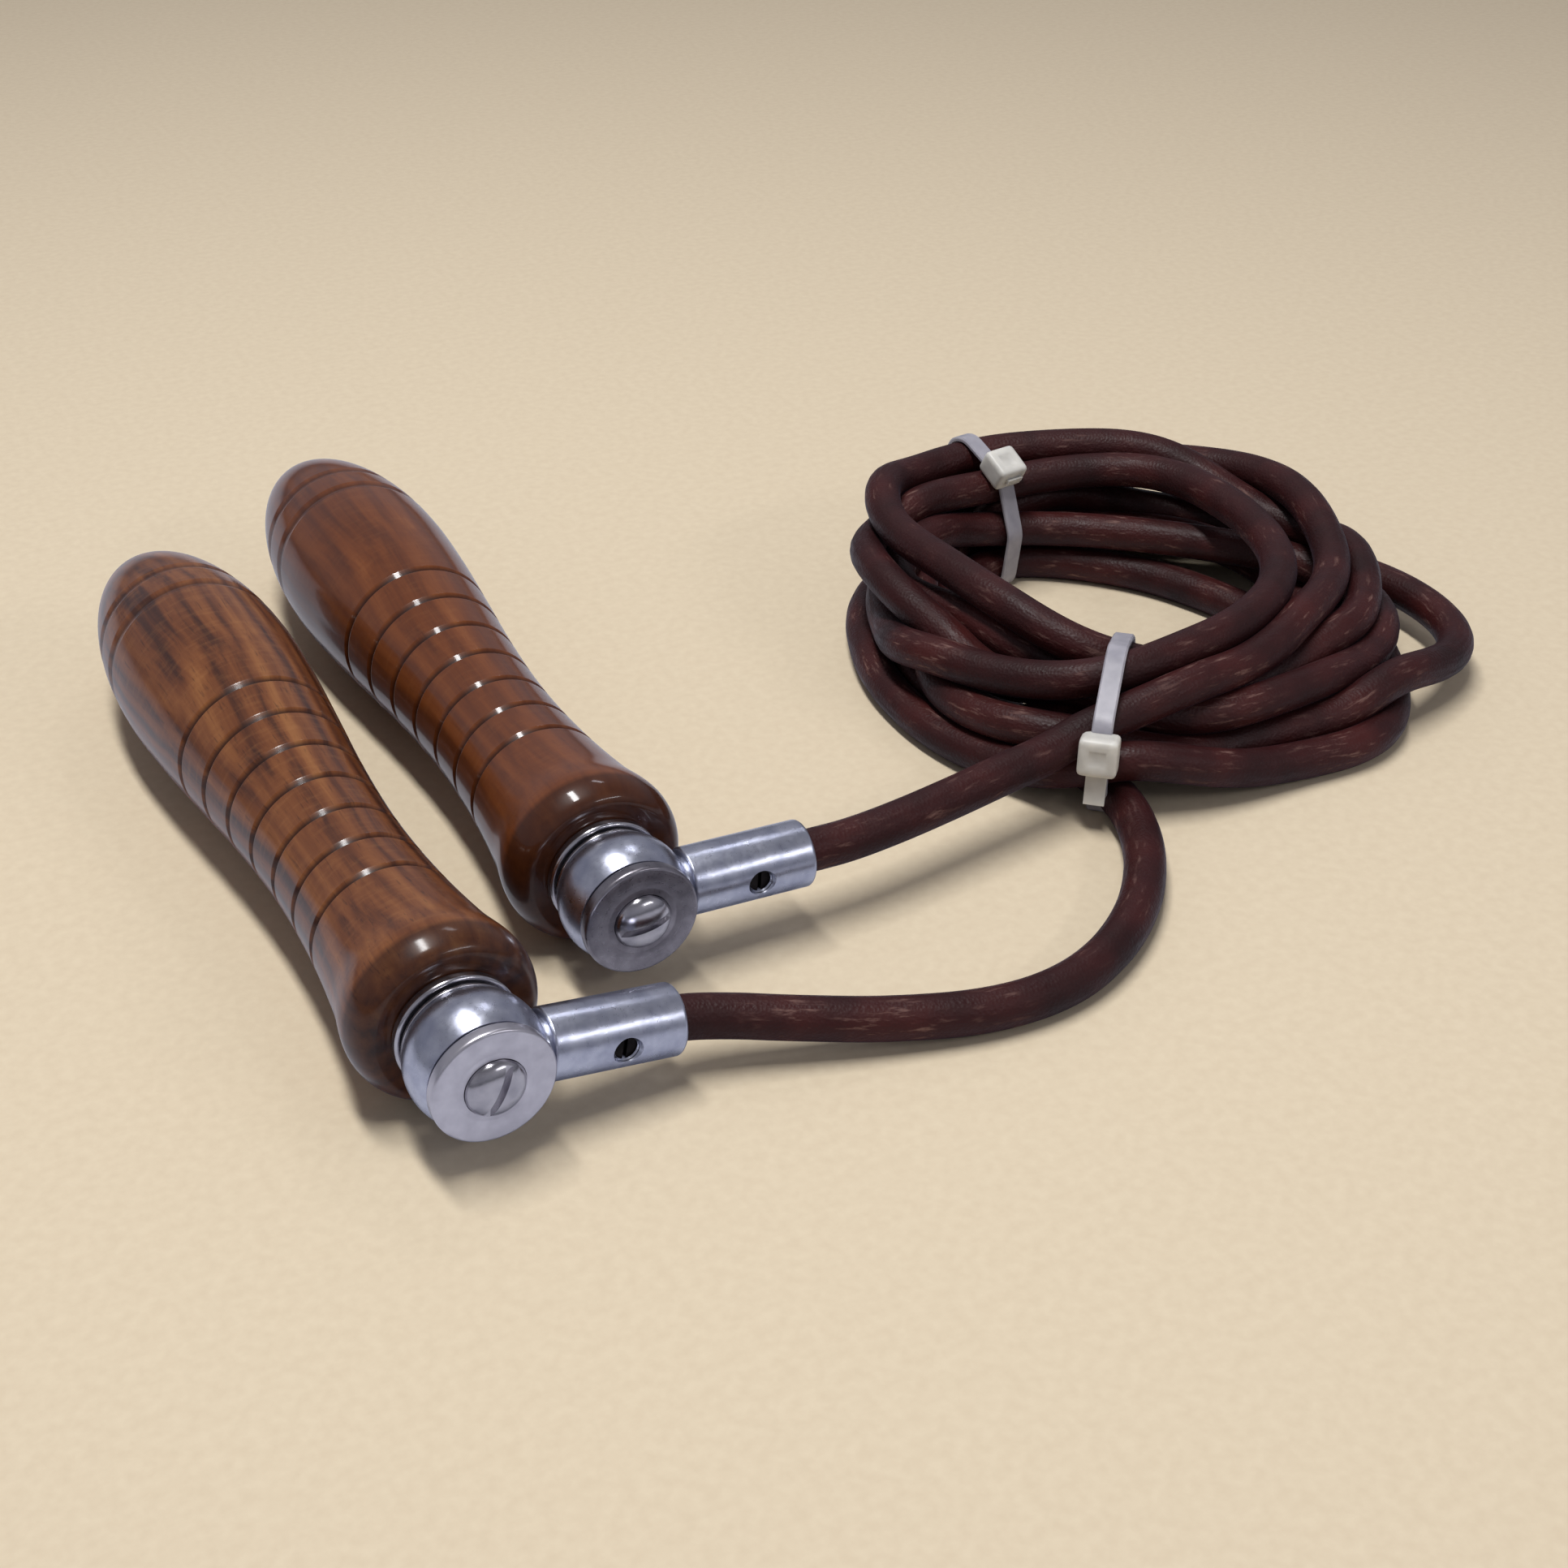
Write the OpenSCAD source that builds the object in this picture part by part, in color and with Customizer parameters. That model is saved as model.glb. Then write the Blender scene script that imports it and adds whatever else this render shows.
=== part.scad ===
/* [Wooden handle] */
// Length of the turned wood
wood_l = 156; // [140:1:170]
// Largest diameter, near the rounded end
bulb_d = 32; // [30:0.5:34]
// Diameter of the flare beside the swivel
flare_d = 29.4; // [28:0.1:30]
// Diameter of the waist
waist_d = 22.6; // [21:0.1:24]
// Distance between neighbouring grip grooves
groove_pitch = 9.7; // [8:0.1:10]
// Number of grip grooves round the waist
groove_n = 7; // [3:1:7]
// Depth of a grip groove
groove_deep = 0.6; // [0.3:0.1:1]

/* [Swivel] */
// Diameter of the plain disc at the outer end
disc_d = 18.8; // [17:0.1:19]
// Thickness of that disc
disc_t = 2.2; // [1.5:0.1:2.5]
// Length of the swivel barrel
barrel_l = 9.2; // [8.6:0.1:9.6]
// Diameter of the barrel at the crown of its bulge
barrel_d = 20.6; // [20:0.1:21]
// Diameter of the thin collar against the wood
collar_d = 18.9; // [17:0.1:20]
// Diameter of a bearing ball
ball_d = 2.4; // [2:0.1:2.4]
// Diameter of the circle that the ball centres run on
ball_pcd = 11.2; // [10.8:0.1:11.6]
// Number of balls in one row
ball_n = 12; // [8:1:13]
// Diameter of the long screw that holds the swivel
screw_d = 5; // [4:0.1:5]
// Length of the screw inside the wood
screw_grip = 34; // [20:1:40]
// Diameter of the domed screw head
screw_head_d = 9.2; // [7:0.1:10]

/* [Ferrule] */
// Outer diameter of the ferrule tube
ferrule_d = 11; // [10.4:0.1:11.6]
// Distance from the handle's axis to the ferrule's mouth
ferrule_reach = 31.1; // [28:0.1:34]
// Depth that the rope goes into the ferrule
socket_l = 17; // [14:0.5:18]
// Diameter of the side hole for the set screw
side_hole_d = 4; // [3:0.1:4.5]

/* [Rope] */
// Diameter of the leather rope
rope_d = 7; // [6:0.1:7]
// Outer diameter of the tied coil
coil_od = 116; // [110:1:118]
// Inner diameter of the tied coil
coil_id = 68; // [60:1:76]
// Height of the tied coil
coil_h = 25; // [21:1:28]

/* [Ties] */
// Width of a tie's strap
strap_w = 3.6; // [2.5:0.1:4.8]
// Thickness of a tie's strap
strap_t = 1.1; // [0.8:0.1:1.5]
// Side of a tie's square locking head
tie_head = 6.8; // [5:0.1:8]

/* [Layout] */
// Place of handle a's wooden front face, across and along
handle_a_at = [-25.3, -82.2];
// Place of handle b's wooden front face, across and along
handle_b_at = [10.3, -56.8];
// Turn of handle b from the direction of handle a
handle_b_yaw = -2; // [-4:0.5:0]
// Droop of ferrule a below level
ferrule_a_droop = 8.8; // [0:0.1:9]
// Droop of ferrule b below level
ferrule_b_droop = 2.4; // [0:0.1:9]
// Turn of the screw slot of handle a
slot_a_turn = 118; // [0:1:180]
// Turn of the screw slot of handle b
slot_b_turn = 172; // [0:1:180]
// Centre of the coil, across and along
coil_at = [141, -22.5];
// Direction of the front tie, seen from the coil's centre
front_tie_at = 226; // [220:1:232]
// Direction of the rear tie, seen from the coil's centre
rear_tie_at = 97; // [90:1:110]

/* [Hidden] */
$fn = 64;

// Along a handle's own axis, y = 0 is the wood's front face, + towards the rounded end.
bulb_r = bulb_d / 2;
flare_r = flare_d / 2;
waist_r = waist_d / 2;
flare_y = 5.4;
bulb_y = wood_l * 0.727;
nose_r = 11.6;
nose_edge = 1.2;
first_groove_y = 25.8;
groove_half_w = 0.85;
groove_over = 0.5;
tip_grooves_y = [wood_l - 36.5, wood_l - 27];
tip_groove_deep = 0.35;

// The handle lies on its bulb and its flare, so its axis rises slightly towards the bulb.
rest_lift = 0.02;
tilt = atan((bulb_r - flare_r) / (bulb_y - flare_y));
axis_h = flare_r * cos(tilt) - flare_y * sin(tilt) + rest_lift;

// Swivel, worked out from its barrel's middle
barrel_y = -8;
barrel_end_r = 9.3;
barrel_edge = 0.35;
row_off = 2.5;
cone_end = 5;
cone_nose = 1.1;
ball_r = ball_d / 2;
pitch_r = ball_pcd / 2;
shank_r = screw_d / 2;
hole_r = shank_r + 0.1;
point_l = 4;
point_r = 0.3;
cone_flange_r = 6.5;
cone_flange_t = 1.9;
cone_inner_r = 4.4;
mid_bore_r = 5;
sleeve_r = 3.6;
race_gap = 0.05;
race_r = ball_r + race_gap;
cup_r = pitch_r + race_r;
disc_back_y = barrel_y - cone_end;
disc_front_y = disc_back_y - disc_t;
disc_round = 0.7;
washer_t = 0.6;
washer_r = 8.9;
washer_round = 0.15;
collar_t = 1.8;
collar_step_t = 0.6;
collar_step_r = 6.4;
collar_round = 0.5;
washer_y = barrel_y + cone_end;
head_sink = 0.4;
head_rise = 2.2;
head_edge = 0.4;
head_clear = 0.15;
slot_w = 1.15;
slot_deep = 1.3;

// Ferrule, along its own axis from the handle's axis
ferrule_r = ferrule_d / 2;
stem_r = 3.2;
stem_from = 8;
shoulder_at = 9.9;
shoulder_chamfer = 0.6;
lip_r = 0.7;
socket_r = rope_d / 2 + 0.1;
socket_from = ferrule_reach - socket_l;
side_hole_at = 21.3;
side_hole_r = side_hole_d / 2;
set_screw_from = 2.4;
set_screw_to = 4.3;
set_slot_w = 0.6;
set_slot_deep = 0.7;

// Rope
rope_r = rope_d / 2;
rope_sides = 12;
route_steps = 2;
lead_a_route = [[5.4, -90.2, 9.8], [14, -92.2, 8.4], [23, -95.6, 6.9], [36, -100.3, 5],
    [50, -104.3, 3.8], [62, -105.3, 3.5], [73, -102.8, 3.5], [84.5, -96.2, 3.5],
    [94, -87, 3.5], [100.5, -77, 3.5], [104, -69, 3.5], [106.5, -61, 3.5]];
lead_b_route = [[41.1, -65.9, 13.3], [50, -65.9, 12.9], [60, -65.1, 12.9],
    [71, -63.6, 13], [82, -62.1, 13.4], [93, -60.8, 14], [104, -60, 15]];
coil_round = 9;
coil_w = (coil_od - coil_id) / 2;

// Ties: the middle of a head's seat across and up, and its turn about the strap's width
front_head_at = [coil_od / 2, 13.4];
rear_head_at = [41.7, coil_h];
rear_head_turn = -90;
head_stand = 4.4;
tail_stand = 1;
tail_l = 5;

// Smooth curve through points, by the usual four-point rule
function curve_at(p, i, t) =
    0.5 * (2 * p[i] + (p[i + 1] - p[i - 1]) * t
    + (2 * p[i - 1] - 5 * p[i] + 4 * p[i + 1] - p[i + 2]) * t * t
    + (3 * p[i] - p[i - 1] - 3 * p[i + 1] + p[i + 2]) * t * t * t);
function curve(p, steps) = concat(
    [for (i = [1 : len(p) - 3], k = [0 : steps - 1]) curve_at(p, i, k / steps)],
    [p[len(p) - 2]]);
function open_curve(p, steps) = curve(concat(
    [2 * p[0] - p[1]], p, [2 * p[len(p) - 1] - p[len(p) - 2]]), steps);

// Points of an arc of radius r about a centre, from angle a to angle b in n steps
function arc(centre, r, a, b, n) = [for (k = [0 : n])
    centre + r * [cos(a + (b - a) * k / n), sin(a + (b - a) * k / n)]];

// Radius against length of the wood: rounded front edge, waist, bulb, long round end
waist_knots = [[0, flare_r - nose_edge], [flare_y, flare_r], [13.4, 13.3], [25.4, waist_r + 0.7],
    [38.4, waist_r], [51.4, waist_r + 0.05], [66.4, 12.3], [81.4, 13.8], [97.4, 15.3],
    [bulb_y, bulb_r], [bulb_y + 17, bulb_r * 0.92]];
nose_points = [for (a = [0 : 15 : 75])
    [flare_y * (1 - cos(a)), nose_r + (flare_r - nose_r) * sin(a)]];
tip_l = wood_l - bulb_y;
tip_points = [for (a = [5 : 5 : 90]) [bulb_y + tip_l * sin(a), bulb_r * cos(a)]];
wood_points = concat([[0, 0]], nose_points, curve(waist_knots, 4), tip_points);
function wood_r(y, i = 2) = wood_points[i][0] >= y
    ? lookup(y, [wood_points[i - 1], wood_points[i]])
    : wood_r(y, i + 1);

// Turns a length-and-radius outline into a body round the handle's axis
module turned() {
    rotate([-90, 0, 0])
    rotate_extrude()
    children();
}

module v_groove(y, deep) {
    r = wood_r(y);
    turned()
    polygon([[r - deep, y], [r + groove_over, y - groove_half_w],
        [r + groove_over, y + groove_half_w]]);
}

module wooden_handle(shade) {
    color(shade)
    difference() {
        turned() polygon([for (p = wood_points) [p[1], p[0]]]);
        for (i = [0 : groove_n - 1]) v_groove(first_groove_y + i * groove_pitch, groove_deep);
        for (y = tip_grooves_y) v_groove(y, tip_groove_deep);
        rotate([-90, 0, 0]) translate([0, 0, -1])
            cylinder(r = shank_r, h = screw_grip - point_l + 1);
        rotate([-90, 0, 0]) translate([0, 0, screw_grip - point_l])
            cylinder(r1 = shank_r, r2 = point_r, h = point_l);
    }
}

// Ring from y to y + l whose outer edges are rounded
module ring(y, l, r_out, r_in, round_r) {
    turned()
    translate([0, y])
    polygon(concat([[r_in, 0]],
        arc([r_out - round_r, round_r], round_r, -90, 0, 4),
        arc([r_out - round_r, l - round_r], round_r, 0, 90, 4),
        [[r_in, l]]));
}

module collar_ring() {
    color("silver")
    union() {
        ring(-collar_t, collar_t, collar_d / 2, hole_r, collar_round);
        turned() translate([hole_r, washer_y + washer_t])
            square([collar_step_r - hole_r, collar_step_t]);
    }
}

module dust_washer() {
    color("gainsboro") ring(washer_y, washer_t, washer_r, hole_r, washer_round);
}

// One bearing cone; side is -1 for the front row and 1 for the rear row
module cone(side) {
    color("darkgray")
    translate([0, barrel_y, 0])
    mirror([0, side > 0 ? 1 : 0, 0])
    difference() {
        turned()
        polygon([[hole_r, -cone_end], [cone_flange_r, -cone_end],
            [cone_flange_r, -cone_end + cone_flange_t], [cone_inner_r, -cone_nose],
            [hole_r, -cone_nose]]);
        turned() translate([pitch_r, -row_off]) circle(r = race_r, $fn = 48);
    }
}

module balls(side) {
    color("lightsteelblue")
    for (i = [0 : ball_n - 1])
        rotate([0, i * 360 / ball_n, 0])
        translate([pitch_r, barrel_y + side * row_off, 0])
        sphere(r = ball_r, $fn = 32);
}

module spacer_sleeve() {
    color("gray") ring(barrel_y - cone_nose, 2 * cone_nose, sleeve_r, hole_r, 0.1);
}

// Bulged outside of the barrel as one arc between its two flat ends
bulge = barrel_d / 2 - barrel_end_r;
arc_half = barrel_l / 2 - barrel_edge;
arc_r = (arc_half * arc_half + bulge * bulge) / (2 * bulge);
arc_a = asin(arc_half / arc_r);
barrel_points = concat(
    [[0, -barrel_l / 2], [barrel_end_r - barrel_edge, -barrel_l / 2]],
    arc([barrel_d / 2 - arc_r, 0], arc_r, -arc_a, arc_a, 16),
    [[barrel_end_r - barrel_edge, barrel_l / 2], [0, barrel_l / 2]]);

// Inside of the barrel: a ball cup at each end and a plain bore between them
race_end = acos((mid_bore_r - pitch_r) / race_r);
cavity_points = concat([[0, -barrel_l], [cup_r, -barrel_l]],
    arc([pitch_r, -row_off], race_r, 0, race_end, 10),
    arc([pitch_r, row_off], race_r, -race_end, 0, 10),
    [[cup_r, barrel_l], [0, barrel_l]]);

module swivel_barrel() {
    color("silver")
    translate([0, barrel_y, 0])
    difference() {
        turned() polygon(barrel_points);
        turned() polygon(cavity_points);
    }
}

// Ferrule tube: its stem is brazed into the barrel's wall, its socket takes the rope
module rope_ferrule(droop) {
    color("gainsboro")
    translate([0, barrel_y, 0])
    rotate([0, 90 + droop, 0])
    difference() {
        rotate_extrude()
        polygon(concat([[0, stem_from], [stem_r, stem_from], [stem_r, shoulder_at],
            [ferrule_r - shoulder_chamfer, shoulder_at],
            [ferrule_r, shoulder_at + shoulder_chamfer]],
            arc([ferrule_r - lip_r, ferrule_reach - lip_r], lip_r, 0, 90, 4),
            [[0, ferrule_reach]]));
        translate([0, 0, socket_from]) cylinder(r = socket_r, h = socket_l + 1);
        translate([0, 0, side_hole_at]) rotate([90, 0, 0])
            cylinder(r = side_hole_r, h = ferrule_r + 1);
    }
}

module ferrule_set_screw(droop) {
    color("dimgray")
    translate([0, barrel_y, 0])
    rotate([0, 90 + droop, 0])
    translate([0, 0, side_hole_at])
    rotate([90, 0, 0])
    difference() {
        translate([0, 0, set_screw_from])
            cylinder(r = side_hole_r, h = set_screw_to - set_screw_from);
        translate([-side_hole_r - 1, -set_slot_w / 2, set_screw_to - set_slot_deep])
            cube([2 * side_hole_r + 2, set_slot_w, 1]);
    }
}

module end_disc() {
    color("lightgray")
    difference() {
        ring(disc_front_y, disc_t, disc_d / 2, hole_r, disc_round);
        turned() translate([0, disc_front_y - 1])
            square([screw_head_d / 2 + head_clear, 1 + head_sink]);
    }
}

module handle_screw(slot_turn) {
    head_r = screw_head_d / 2;
    seat_y = disc_front_y + head_sink;
    dome_h = head_sink + head_rise;
    color("silver")
    difference() {
        turned()
        polygon(concat(
            [[0, seat_y - dome_h]],
            [for (a = [78 : -13 : 0])
                [head_r * cos(a), seat_y - head_edge - (dome_h - head_edge) * sin(a)]],
            [[head_r, seat_y], [shank_r, seat_y], [shank_r, screw_grip - point_l],
            [point_r, screw_grip], [0, screw_grip]]));
        rotate([0, slot_turn, 0])
        translate([-head_r - 1, seat_y - dome_h - 1, -slot_w / 2])
        cube([2 * head_r + 2, 1 + slot_deep, slot_w]);
    }
}

// Sweeps a round section along a route whose frames stay upright
function unit(v) = v / norm(v);
function heading(p, i) = unit(p[min(i + 1, len(p) - 1)] - p[max(i - 1, 0)]);
function side_of(h) = unit(cross([0, 0, 1], h));
function section(p, i) = let (h = heading(p, i), s = side_of(h), u = cross(h, s))
    [for (k = [0 : rope_sides - 1])
        p[i] + rope_r * (cos(k * 360 / rope_sides) * s + sin(k * 360 / rope_sides) * u)];

module rope(route) {
    n = len(route);
    m = rope_sides;
    color("#3f2320")
    polyhedron(
        points = [for (i = [0 : n - 1]) each section(route, i)],
        faces = concat(
            [[for (k = [0 : m - 1]) k]],
            [[for (k = [m - 1 : -1 : 0]) (n - 1) * m + k]],
            [for (i = [0 : n - 2], k = [0 : m - 1])
                [i * m + k, (i + 1) * m + k, (i + 1) * m + (k + 1) % m, i * m + (k + 1) % m]]),
        convexity = 4);
}

// Point on a ferrule's axis, at a distance from the handle's axis
function ferrule_point(at, yaw, droop, l) =
    let (y = barrel_y, h = axis_h + barrel_y * sin(tilt))
    [at[0] - y * sin(yaw) + l * cos(droop) * cos(yaw),
     at[1] + y * cos(yaw) + l * cos(droop) * sin(yaw),
     h - l * sin(droop)];

module rope_lead_a() {
    rope(concat([ferrule_point(handle_a_at, 0, ferrule_a_droop, socket_from)],
        open_curve(lead_a_route, route_steps)));
}

module rope_lead_b() {
    rope(concat([ferrule_point(handle_b_at, handle_b_yaw, ferrule_b_droop, socket_from)],
        open_curve(lead_b_route, route_steps)));
}

// Outer shape of the wound and tied rope
module rope_coil() {
    color("#4a2a26")
    translate([coil_at[0], coil_at[1], 0])
    rotate_extrude($fn = 96)
    translate([coil_id / 2, 0])
    polygon(concat(
        arc([coil_round, coil_round], coil_round, 180, 270, 6),
        arc([coil_w - coil_round, coil_round], coil_round, 270, 360, 6),
        arc([coil_w - coil_round, coil_h - coil_round], coil_round, 0, 90, 6),
        arc([coil_round, coil_h - coil_round], coil_round, 90, 180, 6)));
}

// One moulded tie: its strap round the bundle, its locking head and its cut tail
module cable_tie(at, head_at, head_turn) {
    color("whitesmoke")
    translate([coil_at[0], coil_at[1], 0])
    rotate([0, 0, at])
    union() {
        rotate([90, 0, 0])
        translate([0, 0, -strap_w / 2])
        linear_extrude(strap_w)
        difference() {
            tie_outline(0);
            tie_outline(strap_t);
        }
        translate([head_at[0], 0, head_at[1]])
        rotate([0, head_turn, 0]) {
            translate([-strap_t, -tie_head / 2, -tie_head / 2])
                cube([strap_t + head_stand, tie_head, tie_head]);
            translate([tail_stand, -strap_w / 2, -tie_head / 2 - tail_l])
                cube([strap_t, strap_w, tail_l + tail_stand]);
        }
    }
}

// Rounded outline round the coil's section, moved in by a wall thickness
module tie_outline(wall) {
    out = strap_t;
    r = coil_round + out - wall;
    w = coil_w + 2 * (out - wall);
    h = coil_h + out - 2 * wall;
    translate([coil_id / 2 - out + wall, wall])
    union() {
        translate([r, 0]) square([w - 2 * r, h]);
        translate([0, r]) square([w, h - 2 * r]);
        for (x = [r, w - r], z = [r, h - r]) translate([x, z]) circle(r = r);
    }
}

module place(at, yaw) {
    translate([at[0], at[1], axis_h])
    rotate([0, 0, yaw])
    rotate([tilt, 0, 0])
    children();
}
module place_a() { place(handle_a_at, 0) children(); }
module place_b() { place(handle_b_at, handle_b_yaw) children(); }

place_a() wooden_handle("#5b3722");  // wooden_handle_a
place_a() collar_ring();  // collar_ring_a
place_a() dust_washer();  // dust_washer_a
place_a() cone(1);  // rear_cone_a
place_a() balls(1);  // rear_balls_a
place_a() spacer_sleeve();  // spacer_sleeve_a
place_a() swivel_barrel();  // swivel_barrel_a
place_a() balls(-1);  // front_balls_a
place_a() cone(-1);  // front_cone_a
place_a() end_disc();  // end_disc_a
place_a() handle_screw(slot_a_turn);  // handle_screw_a
place_a() rope_ferrule(ferrule_a_droop);  // rope_ferrule_a
place_a() ferrule_set_screw(ferrule_a_droop);  // ferrule_set_screw_a
rope_lead_a();
place_b() wooden_handle("#54301c");  // wooden_handle_b
place_b() collar_ring();  // collar_ring_b
place_b() dust_washer();  // dust_washer_b
place_b() cone(1);  // rear_cone_b
place_b() balls(1);  // rear_balls_b
place_b() spacer_sleeve();  // spacer_sleeve_b
place_b() swivel_barrel();  // swivel_barrel_b
place_b() balls(-1);  // front_balls_b
place_b() cone(-1);  // front_cone_b
place_b() end_disc();  // end_disc_b
place_b() handle_screw(slot_b_turn);  // handle_screw_b
place_b() rope_ferrule(ferrule_b_droop);  // rope_ferrule_b
place_b() ferrule_set_screw(ferrule_b_droop);  // ferrule_set_screw_b
rope_lead_b();
rope_coil();
cable_tie(front_tie_at, front_head_at, 0);  // cable_tie_front
cable_tie(rear_tie_at, rear_head_at, rear_head_turn);  // cable_tie_rear
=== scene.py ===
import math

import bmesh
import bpy
import numpy as np
from mathutils import Matrix, Vector


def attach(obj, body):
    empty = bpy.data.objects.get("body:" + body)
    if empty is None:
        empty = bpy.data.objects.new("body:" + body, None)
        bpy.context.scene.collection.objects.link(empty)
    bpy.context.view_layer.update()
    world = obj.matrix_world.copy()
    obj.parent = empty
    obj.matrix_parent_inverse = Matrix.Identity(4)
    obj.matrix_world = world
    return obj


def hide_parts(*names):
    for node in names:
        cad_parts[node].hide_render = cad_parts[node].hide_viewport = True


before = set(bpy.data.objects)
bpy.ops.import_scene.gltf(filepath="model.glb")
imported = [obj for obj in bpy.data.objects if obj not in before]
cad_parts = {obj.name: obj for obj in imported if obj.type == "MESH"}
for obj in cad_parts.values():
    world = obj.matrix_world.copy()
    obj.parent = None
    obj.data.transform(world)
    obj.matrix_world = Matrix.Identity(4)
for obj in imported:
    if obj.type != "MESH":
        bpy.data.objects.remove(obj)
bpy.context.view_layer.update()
mm = 0.001
floorGap = 0.02  # millimetres that the rope and its ties keep above the floor


def linearOf(hexColour):
    parts = [int(hexColour[i:i + 2], 16) / 255 for i in (1, 3, 5)]
    return tuple(c / 12.92 if c <= 0.04045 else ((c + 0.055) / 1.055) ** 2.4 for c in parts) + (1.0,)


def addNode(tree, kind, settings={}, links={}):
    node = tree.nodes.new(kind)
    for name, value in settings.items():
        if name == "stops":  # a ramp's places and hex colours, in rising order
            ramp = node.color_ramp.elements
            while len(ramp) < len(value):
                ramp.new(1.0)
            for i, (place, colour) in enumerate(value):
                ramp[i].position = place
                ramp[i].color = linearOf(colour)
        elif isinstance(name, int) or name in node.inputs:
            node.inputs[name].default_value = value
        else:
            setattr(node, name, value)
    for name, source in links.items():
        tree.links.new(source, node.inputs[name])
    return node


def newMaterial(name, **constants):
    material = bpy.data.materials.new(name)
    material.use_nodes = True
    tree = material.node_tree
    tree.nodes.clear()
    shader = addNode(tree, "ShaderNodeBsdfPrincipled", constants)
    addNode(tree, "ShaderNodeOutputMaterial", {}, {"Surface": shader.outputs["BSDF"]})
    return material, tree, shader


# Camera: it looks down on the handles from their swivel end
camera = {
    "lens": 52.867,  # millimetres, on a 36 mm wide sensor
    "place": (-0.11116, -0.33137, 0.21718),
    "down": 31.98,  # degrees below level
    "turn": -29.289,  # degrees from the handles' direction
}


def makeCamera(facts):
    data = bpy.data.cameras.new("camera")
    data.lens = facts["lens"]
    data.sensor_width = 36
    data.clip_start = 0.01
    eye = bpy.data.objects.new("camera", data)
    eye.location = facts["place"]
    eye.rotation_euler = (math.radians(90 - facts["down"]), 0, math.radians(facts["turn"]))
    bpy.context.collection.objects.link(eye)
    bpy.context.scene.camera = eye


makeCamera(camera)
print("camera placed")

# Rope: two leads and eight turns, which settle onto each other and onto the floor
ropeFacts = {
    "diameter": 7.0,
    "coilAt": (141.0, -22.5),
    "leadB": [[24.1, -65.29, 13.97], [41.1, -65.9, 13.3], [50, -65.9, 12.9], [60, -65.1, 12.9],
              [71, -63.6, 13], [82, -62.1, 13.4], [93, -60.8, 14]],
    "leadA": [[106.5, -61, 3.5], [104, -69, 3.5], [100.5, -77, 3.5], [94, -87, 3.5],
              [84.5, -96.2, 3.5], [73, -102.8, 3.5], [62, -105.3, 3.5], [50, -104.3, 3.8],
              [36, -100.3, 5], [23, -95.6, 6.9], [14, -92.2, 8.4], [5.4, -90.2, 9.8],
              [-11.37, -90.2, 12.4]],
    # directions seen from the coil's centre, and how far out and how high each turn is there
    "directions": [226, 250, 275, 300, 325, 350, 380, 415, 458, 490, 515, 550],
    "turns": [
        [(52, 15.2), (38.5, 16.8), (33.5, 18.2), (32.5, 19), (34.5, 19.5), (39.5, 20),
         (47, 20.5), (54, 19), (52.5, 16.5), (48, 10.5), (47.5, 9.5), (45.5, 14)],
        [(44.5, 19), (35.5, 21), (29, 22), (25.5, 22.5), (24.5, 23), (25, 23),
         (29, 23), (42, 22), (46.5, 19.5), (54, 17.5), (47, 18.5), (42, 12.5)],
        [(43, 12), (40, 11.5), (40, 10.5), (42, 10.5), (45, 11), (44, 11.5),
         (34, 11.5), (33, 11.5), (45, 11.5), (50, 14), (47, 15.5), (40, 17)],
        [(37.5, 12), (35, 14), (36, 12), (38, 13.5), (41.5, 15), (43.5, 16),
         (45, 17), (48.5, 24), (54.5, 21.5), (52.5, 22.5), (41, 25), (36.5, 23.5)],
        [(37, 18.5), (33, 10), (33, 5), (35, 5), (38, 5.5), (39, 6),
         (41, 7), (42, 9), (58, 7), (45, 8), (42, 9.5), (50, 9)],
        [(49.5, 8), (43, 9), (41, 8.5), (48, 7.5), (60.5, 7), (56, 7),
         (51, 5), (51, 4), (52, 3.5), (55, 3.5), (51.5, 3.5), (52, 3.5)],
        [(53.5, 9.5), (47.5, 6), (48, 3.5), (49, 3.5), (46, 4), (46, 5),
         (48, 8), (49, 10), (52, 10), (48, 4), (46, 3.5), (46.5, 3.5)],
        [(43, 5.5), (38, 4), (36, 3.5), (35, 3.5), (33, 3.5), (29, 3.5),
         (26.5, 3.5), (32, 3.5), (46, 3.5), (42, 3.5), (39, 3.5), (39.5, 3.5)],
    ],
    "spacing": 4.0,  # distance between the points that settle
    "rounds": 260,
    "tightest": 16.0,  # smallest bend radius
    "pull": (0.035, 0.012),  # how hard a point is drawn to its route, at first and near the end
    "pullDrops": 0.6,  # share of the rounds after which the pull drops
    "stiffness": 0.45,
    "unbend": 0.4,
    "pushApart": 0.35,
    "neighbours": 3,  # points on either side that don't push each other
    "heldStart": 18,  # points of each lead that stay on their route
    "heldEnd": 24,
    # how the hide's girth wanders: share of its radius, length in millimetres, start
    "wander": [(0.008, 23.0, 0.0), (0.006, 9.1, 1.0)],
    "ringSpacing": 1.5,
    "sides": 20,
}


def smoothThrough(points, steps):
    p = np.asarray(points, float)
    p = np.vstack([2 * p[0] - p[1], p, 2 * p[-1] - p[-2]])
    out = []
    for i in range(1, len(p) - 2):
        for k in range(steps):
            t = k / steps
            out.append(0.5 * (2 * p[i] + (p[i + 1] - p[i - 1]) * t
                              + (2 * p[i - 1] - 5 * p[i] + 4 * p[i + 1] - p[i + 2]) * t * t
                              + (3 * p[i] - p[i - 1] - 3 * p[i + 1] + p[i + 2]) * t ** 3))
    out.append(p[-2])
    return np.array(out)


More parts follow.
